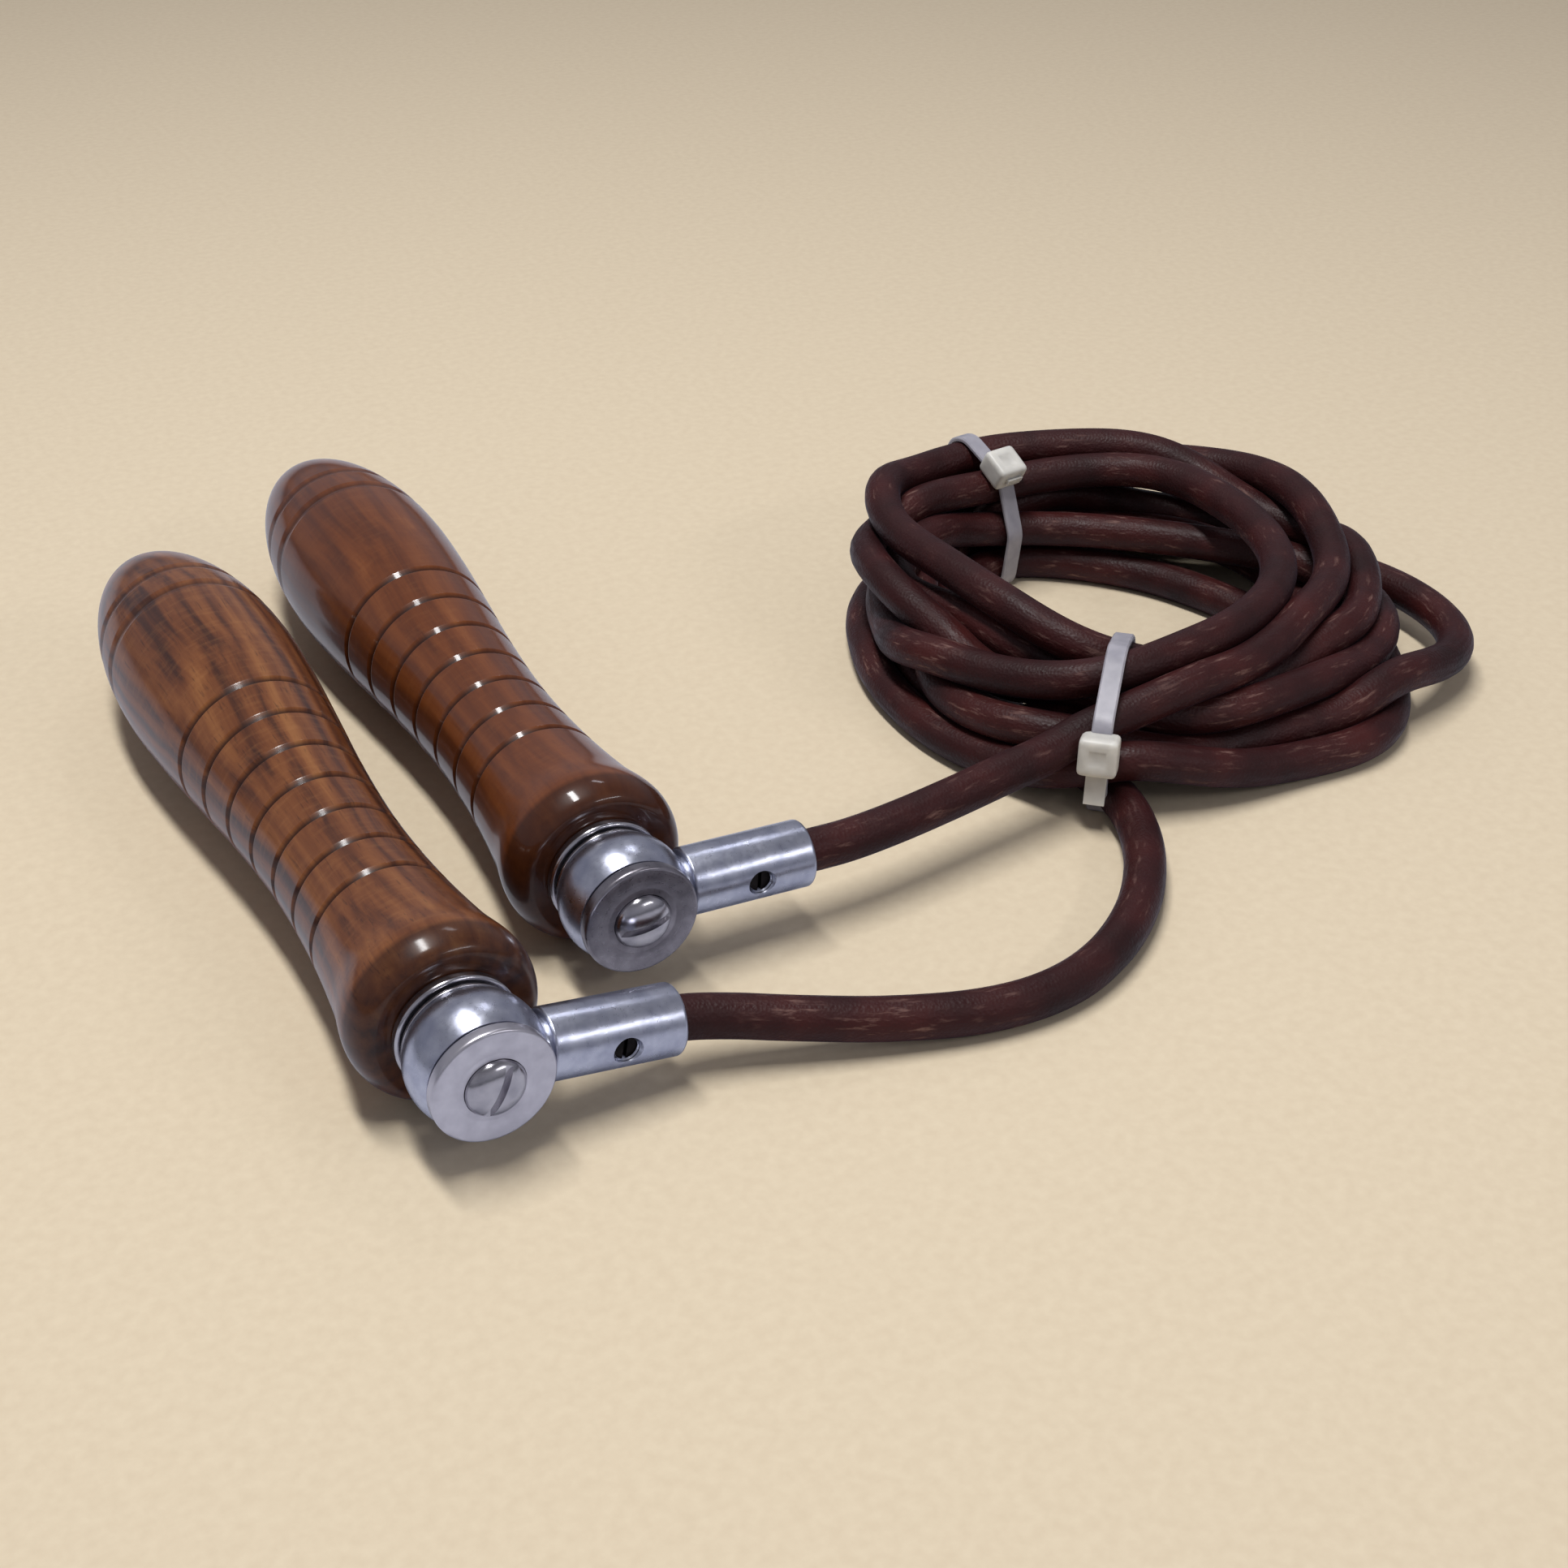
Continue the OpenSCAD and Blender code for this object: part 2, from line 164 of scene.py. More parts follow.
def evenly(points, step):
    along = np.r_[0, np.cumsum(np.linalg.norm(np.diff(points, axis=0), axis=1))]
    count = max(2, int(round(along[-1] / step)))
    at = np.linspace(0, along[-1], count + 1)
    return np.stack([np.interp(at, along, points[:, k]) for k in range(points.shape[1])], 1)


def bendOf(p):
    bend = np.zeros_like(p)
    bend[1:-1] = 0.5 * (p[:-2] + p[2:]) - p[1:-1]
    return bend


def settle(route, facts):
    d = facts["diameter"]
    p = evenly(smoothThrough(route, 10), facts["spacing"])
    goal = p.copy()
    index = np.arange(len(p))
    apart = np.abs(index[:, None] - index[None, :]) > facts["neighbours"]
    mostBend = facts["spacing"] ** 2 / (2 * facts["tightest"])
    for i in range(facts["rounds"]):
        late = i >= facts["pullDrops"] * facts["rounds"]
        p = p + facts["pull"][late] * (goal - p)
        bend = bendOf(p)
        p[2:-2] += facts["stiffness"] * (bend[2:-2] - 0.5 * (bend[1:-3] + bend[3:-1]))
        bend = bendOf(p)
        size = np.linalg.norm(bend, axis=1)[:, None]
        p = p + facts["unbend"] * bend * np.clip(1 - mostBend / np.maximum(size, 1e-6), 0, 1)
        for again in range(2):  # strands push each other out to a diameter apart
            gap = p[:, None] - p[None]
            dist = np.linalg.norm(gap, axis=2)
            close = apart & (dist < d)
            push = np.where(close, (d - dist) / np.maximum(dist, 1e-6), 0)
            shared = np.sqrt(np.maximum(1, close.sum(1)))[:, None]
            p = p + facts["pushApart"] * (gap * push[..., None]).sum(1) / shared
            p[:, 2] = np.maximum(p[:, 2], d / 2)
        p[:facts["heldStart"]] = goal[:facts["heldStart"]]
        p[-facts["heldEnd"]:] = goal[-facts["heldEnd"]:]
    return evenly(smoothThrough(p, 3), facts["ringSpacing"])


def ropeRoute(facts):
    route = list(facts["leadB"])
    for turn in facts["turns"]:
        for direction, (out, up) in zip(facts["directions"], turn):
            q = math.radians(direction)
            x, y = facts["coilAt"]
            route.append([x + out * math.cos(q), y + out * math.sin(q), up])
    return route + list(facts["leadA"])


def meshPiece(name, points, faces):
    mesh = bpy.data.meshes.new(name)
    mesh.from_pydata([tuple(p) for p in points], [], [tuple(f) for f in faces])
    mesh.shade_smooth()
    piece = bpy.data.objects.new(name, mesh)
    bpy.context.collection.objects.link(piece)
    return piece


def storeVector(piece, name, values):
    layer = piece.data.attributes.new(name, "FLOAT_VECTOR", "POINT")
    layer.data.foreach_set("vector", np.asarray(values, np.float32).ravel())


def carriedFrames(path):
    # a frame at each point that turns as little as it can along the path
    tangents = np.gradient(path, axis=0)
    tangents /= np.linalg.norm(tangents, axis=1)[:, None]
    side = np.cross(tangents[0], (0, 0, 1))
    sides = []
    for t in tangents:
        side = side - t * (side @ t)
        side = side / np.linalg.norm(side)
        sides.append(side)
    sides = np.array(sides)
    return tangents, sides, np.cross(tangents, sides)


def makeRope(facts, material):
    path = settle(ropeRoute(facts), facts)
    tangents, sides, ups = carriedFrames(path)
    n, m = len(path), facts["sides"]
    along = np.r_[0, np.cumsum(np.linalg.norm(np.diff(path, axis=0), axis=1))]
    r = facts["diameter"] / 2
    girth = 1 + sum(share * np.sin(along / length + start) for share, length, start in facts["wander"])
    points, patterned = [], []
    for k in range(m):
        q = 2 * math.pi * k / m
        ring = math.cos(q) * sides + math.sin(q) * ups
        points.append(path + ring * (r * girth)[:, None])
        patterned.append(np.stack([np.full(n, r * math.cos(q)), along, np.full(n, r * math.sin(q))], 1))
    points = np.stack(points, 1).reshape(-1, 3)
    points[:, 2] = np.maximum(points[:, 2], floorGap)
    patterned = np.stack(patterned, 1).reshape(-1, 3)
    faces = [(i * m + k, i * m + (k + 1) % m, (i + 1) * m + (k + 1) % m, (i + 1) * m + k)
             for i in range(n - 1) for k in range(m)]
    faces.append(tuple(range(m - 1, -1, -1)))
    faces.append(tuple((n - 1) * m + k for k in range(m)))
    rope = meshPiece("leather_rope", points * mm, faces)
    storeVector(rope, "alongRope", patterned * mm)
    rope.data.materials.append(material)
    return rope, path


def waxedLeather():
    # vegetable-tanned hide, rolled and waxed: dark maroon, satin, with pale lengthwise scuffs
    material, tree, shader = newMaterial("waxed round leather", **{
        "Sheen Weight": 0.04, "Sheen Roughness": 0.3, "Sheen Tint": linearOf("#aab4d8"), "IOR": 1.42,
        "Specular IOR Level": 0.32})
    at = addNode(tree, "ShaderNodeAttribute", {"attribute_name": "alongRope"}).outputs["Vector"]
    long = addNode(tree, "ShaderNodeMapping", {"Scale": (1, 0.16, 1)}, {"Vector": at}).outputs[0]
    patch = addNode(tree, "ShaderNodeTexNoise", {"Scale": 1 / (14 * mm), "Detail": 3}, {"Vector": at})
    tone = addNode(tree, "ShaderNodeValToRGB", {"stops": [
        (0.3, "#240d0d"), (0.5, "#331313"), (0.72, "#431b19")]}, {"Fac": patch.outputs[0]})
    streak = addNode(tree, "ShaderNodeTexNoise", {"Scale": 1 / (0.9 * mm), "Detail": 4, "Roughness": 0.65},
                     {"Vector": long})
    scuff = addNode(tree, "ShaderNodeMapRange", {"From Min": 0.56, "From Max": 0.7},
                    {"Value": streak.outputs[0]})
    zone = addNode(tree, "ShaderNodeMapRange", {"From Min": 0.46, "From Max": 0.62},
                   {"Value": patch.outputs[0]})
    worn = addNode(tree, "ShaderNodeMath", {"operation": "MULTIPLY"},
                   {0: scuff.outputs[0], 1: zone.outputs[0]})
    faint = addNode(tree, "ShaderNodeMath", {"operation": "MULTIPLY", 1: 0.55}, {0: worn.outputs[0]})
    hide = addNode(tree, "ShaderNodeMix", {"data_type": "RGBA", 7: linearOf("#8d6d64")},
                   {0: faint.outputs[0], 6: tone.outputs[0]})
    tree.links.new(hide.outputs[2], shader.inputs["Base Color"])
    rough = addNode(tree, "ShaderNodeMapRange",
                    {"From Min": 0.35, "From Max": 0.7, "To Min": 0.4, "To Max": 0.66},
                    {"Value": streak.outputs[0]})
    tree.links.new(rough.outputs[0], shader.inputs["Roughness"])
    pores = addNode(tree, "ShaderNodeTexVoronoi", {"Scale": 1 / (0.55 * mm)}, {"Vector": at})
    creases = addNode(tree, "ShaderNodeMath", {"operation": "ADD"},
                      {0: pores.outputs[0], 1: streak.outputs[0]})
    bump = addNode(tree, "ShaderNodeBump", {"Strength": 0.36, "Distance": 0.2 * mm},
                   {"Height": creases.outputs[0]})
    tree.links.new(bump.outputs[0], shader.inputs["Normal"])
    return material


leather = waxedLeather()
rope, ropePath = makeRope(ropeFacts, leather)
print("rope settled,", len(ropePath), "rings")

# Cable ties: a strap pulled round all the strands that cross an upright plane
tieFacts = {
    "width": 3.6,
    "thick": 1.1,
    "edge": 0.3,  # bevel along the strap
    "step": 0.3,  # distance between the strap's rings
    "gap": 0.05,  # between the strap and the strands
    "relax": (6, 0.25),  # rounds and strength of the strap's smoothing
    "toothPitch": 1.3,
    "toothDeep": 0.25,
    "toothBand": 0.55,  # share of the width that has teeth
    "head": (6.8, 6.8, 5.2),  # along the strap, across it, and out
    "headRound": 1.2,
    "headSink": 0.9,  # how far the head reaches in past the strap's middle
    "window": (0.9, 0.3, 0.15),  # the pawl's window: margin, slope and depth
    "tail": (1.6, 0.6, 0.5),  # height over the strap's middle, lift of its end, length in the head
    "bundleReach": 62.0,  # strands further out than this from the coil's centre are free
    "ties": [
        # name, node, direction from the coil's centre, where the head sits (out, up), length of the tail
        ("cable_tie_front_moulded", "cable_tie_front", 226, (58.5, 14.0), -6.0),
        ("cable_tie_rear_moulded", "cable_tie_rear", 96, (41.7, 27), 1.2),
    ],
}


def hullOf(points):
    # the tight outline round a cloud of flat points, counter-clockwise
    cloud = sorted(set((round(float(x), 4), round(float(y), 4)) for x, y in points))

    def half(sequence):
        out = []
        for p in sequence:
            while len(out) > 1 and ((out[-1][0] - out[-2][0]) * (p[1] - out[-2][1])
                                    - (out[-1][1] - out[-2][1]) * (p[0] - out[-2][0])) <= 0:
                out.pop()
            out.append(p)
        return out[:-1]
    return np.array(half(cloud) + half(cloud[::-1]))


def strapLoop(path, facts, direction):
    q = math.radians(direction)
    outward, across = np.array([math.cos(q), math.sin(q)]), np.array([-math.sin(q), math.cos(q)])
    flat = path[:, :2] - np.array(ropeFacts["coilAt"])
    near = (np.abs(flat @ across) < facts["width"] / 2 + 0.5) & (flat @ outward > 0)
    near &= np.linalg.norm(flat, axis=1) < facts["bundleReach"]
    centres = np.stack([(flat @ outward)[near], path[near, 2]], 1)
    reach = (ropeFacts["diameter"] + facts["thick"]) / 2 + facts["gap"]
    lowest = facts["thick"] / 2 + floorGap
    turn = np.linspace(0, 2 * math.pi, 49)[:-1]
    cloud = (centres[:, None] + reach * np.stack([np.cos(turn), np.sin(turn)], 1)[None]).reshape(-1, 2)
    cloud[:, 1] = np.maximum(cloud[:, 1], lowest)
    hull = hullOf(cloud)
    loop = evenly(np.vstack([hull, hull[:1]]), facts["step"])[:-1]
    rounds, strength = facts["relax"]
    for again in range(rounds):
        loop = loop + strength * (np.roll(loop, 1, 0) + np.roll(loop, -1, 0) - 2 * loop)
    loop[:, 1] = np.maximum(loop[:, 1], lowest)
    return loop, outward, across


def strapTeeth(tree):
    # rows of small teeth pushed in from the strap's inner face
    tree.interface.new_socket("Geometry", in_out="INPUT", socket_type="NodeSocketGeometry")
    tree.interface.new_socket("Pitch", in_out="INPUT", socket_type="NodeSocketFloat")
    tree.interface.new_socket("Depth", in_out="INPUT", socket_type="NodeSocketFloat")
    tree.interface.new_socket("Nylon", in_out="INPUT", socket_type="NodeSocketMaterial")
    tree.interface.new_socket("Geometry", in_out="OUTPUT", socket_type="NodeSocketGeometry")
    given = addNode(tree, "NodeGroupInput").outputs
    tooth = addNode(tree, "GeometryNodeInputNamedAttribute",
                    {"data_type": "FLOAT_VECTOR", "Name": "tooth"})
    along = addNode(tree, "GeometryNodeInputNamedAttribute", {"data_type": "FLOAT", "Name": "along"})
    wave = addNode(tree, "ShaderNodeMath", {"operation": "PINGPONG"},
                   {0: along.outputs[0], 1: given["Pitch"]})
    share = addNode(tree, "ShaderNodeMath", {"operation": "DIVIDE"},
                    {0: wave.outputs[0], 1: given["Pitch"]})
    deep = addNode(tree, "ShaderNodeMath", {"operation": "MULTIPLY"},
                   {0: share.outputs[0], 1: given["Depth"]})
    move = addNode(tree, "ShaderNodeVectorMath", {"operation": "SCALE"},
                   {0: tooth.outputs[0], "Scale": deep.outputs[0]})
    cut = addNode(tree, "GeometryNodeSetPosition", {},
                  {"Geometry": given["Geometry"], "Offset": move.outputs[0]})
    real = addNode(tree, "GeometryNodeRealizeInstances", {}, {"Geometry": cut.outputs[0]})
    painted = addNode(tree, "GeometryNodeSetMaterial", {},
                      {"Geometry": real.outputs[0], "Material": given["Nylon"]})
    addNode(tree, "NodeGroupOutput", {}, {"Geometry": painted.outputs[0]})


def runTree(piece, tree, inputs):
    modifier = piece.modifiers.new(tree.name, "NODES")
    modifier.node_group = tree
    for socket in tree.interface.items_tree:
        if socket.in_out == "INPUT" and socket.name in inputs:
            modifier[socket.identifier] = inputs[socket.name]
    bakeModifiers(piece)


def bakeModifiers(piece):
    bpy.context.view_layer.update()
    ready = piece.evaluated_get(bpy.context.evaluated_depsgraph_get())
    mesh = bpy.data.meshes.new_from_object(ready)
    piece.modifiers.clear()
    piece.data = mesh


def strapMesh(name, loop, outward, across, facts):
    # an oblong section with round edges, swept round the closed loop
    w, t, e = facts["width"] / 2, facts["thick"] / 2, facts["edge"]
    band = facts["toothBand"] * w
    section = [(-w, -t + e), (-w + e, -t), (-band, -t), (0, -t), (band, -t), (w - e, -t),
               (w, -t + e), (w, t - e), (w - e, t), (0, t), (-w + e, t), (-w, t - e)]
    toothed = (2, 3, 4)  # the section's inner points
    tangent = np.roll(loop, -1, 0) - np.roll(loop, 1, 0)
    tangent /= np.linalg.norm(tangent, axis=1)[:, None]
    normal = np.stack([tangent[:, 1], -tangent[:, 0]], 1)  # away from the strands
    n, m = len(loop), len(section)
    points, teeth = [], []
    for i in range(n):
        for k, (side, out) in enumerate(section):
            points.append(placeFlat(loop[i] + out * normal[i], side, outward, across))
            push = normal[i] * (k in toothed)
            teeth.append((push[0] * outward[0], push[0] * outward[1], push[1]))
    faces = [(i * m + k, ((i + 1) % n) * m + k, ((i + 1) % n) * m + (k + 1) % m, i * m + (k + 1) % m)
             for i in range(n) for k in range(m)]
    strap = meshPiece(name, np.array(points) * mm, faces)
    storeVector(strap, "tooth", teeth)
    layer = strap.data.attributes.new("along", "FLOAT", "POINT")
    layer.data.foreach_set("value", np.repeat(np.arange(n) * facts["step"] * mm, m).astype(np.float32))
    return strap, normal


def placeFlat(spot, side, outward, across):
    centre = ropeFacts["coilAt"]
    return (centre[0] + spot[0] * outward[0] + side * across[0],
            centre[1] + spot[0] * outward[1] + side * across[1], spot[1])


def tieHead(mesh, facts, frameOf, tail):
    # locking head: a rounded block with the pawl's window sunk in its outer face
    long, wide, high = facts["head"]
    work = bmesh.new()
    bmesh.ops.create_cube(work, size=1)
    for v in work.verts:
        v.co = Vector((v.co.x * long, v.co.y * wide, v.co.z * high + high / 2 - facts["headSink"]))
    bmesh.ops.bevel(work, geom=[e for e in work.edges], offset=facts["headRound"], segments=4,
                    profile=0.6, affect="EDGES")
    top = max(work.faces, key=lambda f: f.calc_center_median().z * 100 + f.calc_area())
    margin, slope, deep = facts["window"]
    bmesh.ops.inset_region(work, faces=[top], thickness=margin, depth=0)
    bmesh.ops.inset_region(work, faces=[top], thickness=slope, depth=-deep)
    # cut tail of the strap that comes out of the head
    sense = math.copysign(1, tail)
    rise, lift, inHead = facts["tail"]
    for v in bmesh.ops.create_cube(work, size=1)["verts"]:
        bend = lift if v.co.x * sense > 0 else 0.0
        v.co = Vector((v.co.x * abs(tail) + (sense * long + tail) / 2 - sense * inHead,
                       v.co.y * facts["width"], v.co.z * facts["thick"] + rise + bend))
    bmesh.ops.transform(work, matrix=frameOf, verts=work.verts)
    work.normal_update()
    work.to_mesh(mesh)
    work.free()


def makeTie(name, direction, headAt, tail, strapNylon, headNylon):
    loop, outward, across = strapLoop(ropePath, tieFacts, direction)
    strap, normal = strapMesh(name, loop, outward, across, tieFacts)
    tree = bpy.data.node_groups.new("strapTeeth", "GeometryNodeTree")
    strapTeeth(tree)
    runTree(strap, tree, {"Pitch": tieFacts["toothPitch"] / 2 * mm, "Depth": tieFacts["toothDeep"] * mm,
                          "Nylon": strapNylon})
    spot = int(np.argmin(np.linalg.norm(loop - np.array(headAt), axis=1)))
    out, up = normal[spot]
    axisRun = Vector((-up * outward[0], -up * outward[1], out))  # up the strap on its outer side
    axisOut = Vector((out * outward[0], out * outward[1], up))
    axisSide = axisOut.cross(axisRun)
    centre = Vector(placeFlat(loop[spot], 0, outward, across))
    turned = Matrix((axisRun, axisSide, axisOut)).transposed().to_4x4()
    frameOf = Matrix.Translation(centre * mm) @ turned @ Matrix.Diagonal((mm, mm, mm, 1))
    headMesh = bpy.data.meshes.new(name + "_head")
    tieHead(headMesh, tieFacts, frameOf, tail)
    strap.data.materials.append(headNylon)
    joinMeshes(strap, headMesh, 1)
    strap.data.set_sharp_from_angle(angle=math.radians(40))
    return strap


def joinMeshes(piece, extra, slotIndex):
    work = bmesh.new()
    work.from_mesh(piece.data)
    before = len(work.faces)
    work.from_mesh(extra)
    work.faces.ensure_lookup_table()
    for face in work.faces[before:]:
        face.material_index = slotIndex
    work.to_mesh(piece.data)
    work.free()
    piece.data.shade_smooth()


def mouldedNylon(name, dark, light):
    # natural nylon, injection moulded: milky, slightly see-through, satin; greyer where it is thin
    material, tree, shader = newMaterial(name, **{
        "Subsurface Weight": 0.35, "Subsurface Scale": 2 * mm, "Subsurface Radius": (1.0, 0.95, 0.85),
        "IOR": 1.53})
    at = addNode(tree, "ShaderNodeTexCoord").outputs["Object"]
    cloud = addNode(tree, "ShaderNodeTexNoise", {"Scale": 1 / (4 * mm), "Detail": 2}, {"Vector": at})
    tone = addNode(tree, "ShaderNodeValToRGB", {"stops": [(0.35, dark), (0.65, light)]},
                   {"Fac": cloud.outputs[0]})
    tree.links.new(tone.outputs[0], shader.inputs["Base Color"])
    fine = addNode(tree, "ShaderNodeTexNoise", {"Scale": 1 / (0.35 * mm), "Detail": 3}, {"Vector": at})
    rough = addNode(tree, "ShaderNodeMapRange", {"To Min": 0.32, "To Max": 0.5}, {"Value": fine.outputs[0]})
    tree.links.new(rough.outputs[0], shader.inputs["Roughness"])
    bump = addNode(tree, "ShaderNodeBump", {"Strength": 0.2, "Distance": 0.05 * mm},
                   {"Height": fine.outputs[0]})
    tree.links.new(bump.outputs[0], shader.inputs["Normal"])
    return material


thinNylon = mouldedNylon("drawn nylon strap", "#94929b", "#a9a6ae")
thickNylon = mouldedNylon("moulded nylon head", "#c4c1ba", "#dad7cf")
for name, node, direction, headAt, tail in tieFacts["ties"]:
    tie = makeTie(name, direction, headAt, tail, thinNylon, thickNylon)
    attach(tie, "rope_assembly")
    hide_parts(node)

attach(rope, "rope_assembly")
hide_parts("rope_lead_a", "rope_lead_b", "rope_coil")

# Handles: both are turned to one pattern and lie on their bulb and flare
handleFacts = {
    "length": 156.0,
    "bulbRadius": 16.0,
    "bulbAt": 113.4,
    "noseRadius": 11.6,
    "flareAt": 5.4,
    "flareRadius": 14.7,
    "outline": [[0, 13.5], [5.4, 14.7], [13.4, 13.3], [25.4, 12.0], [38.4, 11.3], [51.4, 11.35], [66.4, 12.3],
                [81.4, 13.8], [97.4, 15.3], [113.4, 16], [130.4, 14.72]],
    "faceRadii": (0, 4, 8, 10.6),
    "noseRings": 14,
    "tipRings": 42,
    "grooveRings": 25,
    "ringStep": 1.3,
    "sides": 96,
    # each row's last entry sets how dark the wood is painted in its grooves, as painted shade
    "gripGrooves": {"First": 25.8, "Pitch": 9.7, "Count": 7, "Depth": 0.6, "Half width": 0.85,
                    "Painted shade": 1.0},
    "tipGrooves": {"First": 119.5, "Pitch": 9.5, "Count": 2, "Depth": 0.35, "Half width": 1.7,
                   "Painted shade": 0.62},
}
layout = {
    "axisHeight": 14.654,
    "rise": 0.6896,  # degrees, because the bulb is thicker than the flare
    "a": {"at": (-25.3, -82.2), "turn": 0.0, "droop": 8.8, "slot": 118.0},
    "b": {"at": (10.3, -56.8), "turn": -2.0, "droop": 2.4, "slot": 172.0},
}


def handlePlace(side):
    facts = layout[side]
    return (Matrix.Diagonal((mm, mm, mm, 1))
            @ Matrix.Translation((facts["at"][0], facts["at"][1], layout["axisHeight"]))
            @ Matrix.Rotation(math.radians(facts["turn"]), 4, "Z")
            @ Matrix.Rotation(math.radians(layout["rise"]), 4, "X"))


def handleOutline(facts):
    nose = [(facts["flareAt"] * (1 - math.cos(a)),
             facts["noseRadius"] + (facts["flareRadius"] - facts["noseRadius"]) * math.sin(a))
            for a in np.linspace(0, math.pi / 2, facts["noseRings"])[:-1]]
    body = smoothThrough(facts["outline"], 24)
    body = body[(body[:, 0] >= facts["flareAt"]) & (body[:, 0] <= facts["bulbAt"])]
    tipLength = facts["length"] - facts["bulbAt"]
    tip = [(facts["bulbAt"] + tipLength * math.sin(a), facts["bulbRadius"] * math.cos(a))
           for a in np.linspace(0, math.pi / 2, 120)[1:]]
    full = np.vstack([body, tip])
    places = list(np.arange(facts["flareAt"], facts["bulbAt"], facts["ringStep"]))
    places += [facts["bulbAt"] + tipLength * math.sin(a)
               for a in np.linspace(0, math.pi / 2, facts["tipRings"])]
    for row in (facts["gripGrooves"], facts["tipGrooves"]):
        for i in range(row["Count"]):
            centre = row["First"] + i * row["Pitch"]
            places += list(centre + np.linspace(-1.5, 1.5, facts["grooveRings"]) * row["Half width"])
    places = sorted(places)
    spaced = [places[0]]
    for y in places[1:]:
        if y - spaced[-1] > 0.03 or y == places[-1]:
            spaced.append(y)
    radii = np.interp(spaced, full[:, 0], full[:, 1])
    flat = [(0.0, r) for r in facts["faceRadii"]]
    return flat + nose + list(zip(spaced, radii))


def turnOnAxis(outline, sides, closed=False):
    # rings of (along, radius) round the y axis; a ring of no radius is one point
    points, rings = [], []
    for y, r in outline:
        if r < 1e-6:
            rings.append([len(points)] * sides)
            points.append((0, y, 0))
        else:
            rings.append(list(range(len(points), len(points) + sides)))
            points += [(r * math.cos(2 * math.pi * k / sides), y, r * math.sin(2 * math.pi * k / sides))
                       for k in range(sides)]
    faces = []
    last = len(rings) if closed else len(rings) - 1
    for i in range(last):
        a, b = rings[i], rings[(i + 1) % len(rings)]
        for k in range(sides):
            corners = [a[k], b[k], b[(k + 1) % sides], a[(k + 1) % sides]]
            face = [c for j, c in enumerate(corners) if c != corners[j - 1]]
            if len(face) > 2:
                faces.append(face)
    return points, faces


def grooveTree():
    # presses a row of V grooves into a turned body, and marks how deep each point went, scaled, as the mask
    # for the painted shade in the grooves
    tree = bpy.data.node_groups.new("turnedGrooves", "GeometryNodeTree")
    tree.interface.new_socket("Geometry", in_out="INPUT", socket_type="NodeSocketGeometry")
    for name in ("First", "Pitch", "Count", "Depth", "Half width", "Painted shade"):
        tree.interface.new_socket(name, in_out="INPUT", socket_type="NodeSocketFloat")
    tree.interface.new_socket("Wood", in_out="INPUT", socket_type="NodeSocketMaterial")
    tree.interface.new_socket("Geometry", in_out="OUTPUT", socket_type="NodeSocketGeometry")
    given = addNode(tree, "NodeGroupInput").outputs
    at = addNode(tree, "GeometryNodeInputPosition")
    parts = addNode(tree, "ShaderNodeSeparateXYZ", {}, {0: at.outputs[0]})

    def worked(operation, a, b=None):
        links = {0: a} if b is None else {0: a, 1: b}
        return addNode(tree, "ShaderNodeMath", {"operation": operation}, links).outputs[0]
    past = worked("SUBTRACT", parts.outputs["Y"], given["First"])
    nearest = worked("ROUND", worked("DIVIDE", past, given["Pitch"]))
    last = addNode(tree, "ShaderNodeMath", {"operation": "SUBTRACT", 1: 1.0}, {0: given["Count"]})
    row = addNode(tree, "ShaderNodeMath", {"operation": "MAXIMUM", 1: 0.0},
                  {0: worked("MINIMUM", nearest, last.outputs[0])})
    centre = worked("MULTIPLY", row.outputs[0], given["Pitch"])
    away = worked("ABSOLUTE", worked("SUBTRACT", past, centre))
    inside = addNode(tree, "ShaderNodeMath", {"operation": "SUBTRACT", "use_clamp": True, 0: 1.0},
                     {1: worked("DIVIDE", away, given["Half width"])}).outputs[0]
    flat = addNode(tree, "ShaderNodeCombineXYZ", {}, {"X": parts.outputs["X"], "Z": parts.outputs["Z"]})
    outward = addNode(tree, "ShaderNodeVectorMath", {"operation": "NORMALIZE"}, {0: flat.outputs[0]})
    deep = addNode(tree, "ShaderNodeMath", {"operation": "MULTIPLY", 1: -1.0},
                   {0: worked("MULTIPLY", inside, given["Depth"])})
    move = addNode(tree, "ShaderNodeVectorMath", {"operation": "SCALE"},
                   {0: outward.outputs[0], "Scale": deep.outputs[0]})
    earlier = addNode(tree, "GeometryNodeInputNamedAttribute", {"data_type": "FLOAT", "Name": "groove"})
    # painted shade: the groove's depth mask, scaled, later darkens the wood there
    paintedShade = worked("MULTIPLY", inside, given["Painted shade"])
    marked = addNode(tree, "GeometryNodeStoreNamedAttribute",
                     {"data_type": "FLOAT", "domain": "POINT", "Name": "groove"},
                     {"Geometry": given["Geometry"],
                      "Value": worked("MAXIMUM", paintedShade, earlier.outputs[0])})
    cut = addNode(tree, "GeometryNodeSetPosition", {},
                  {"Geometry": marked.outputs[0], "Offset": move.outputs[0]})
    real = addNode(tree, "GeometryNodeRealizeInstances", {}, {"Geometry": cut.outputs[0]})
    painted = addNode(tree, "GeometryNodeSetMaterial", {},
                      {"Geometry": real.outputs[0], "Material": given["Wood"]})
    addNode(tree, "NodeGroupOutput", {}, {"Geometry": painted.outputs[0]})
    return tree


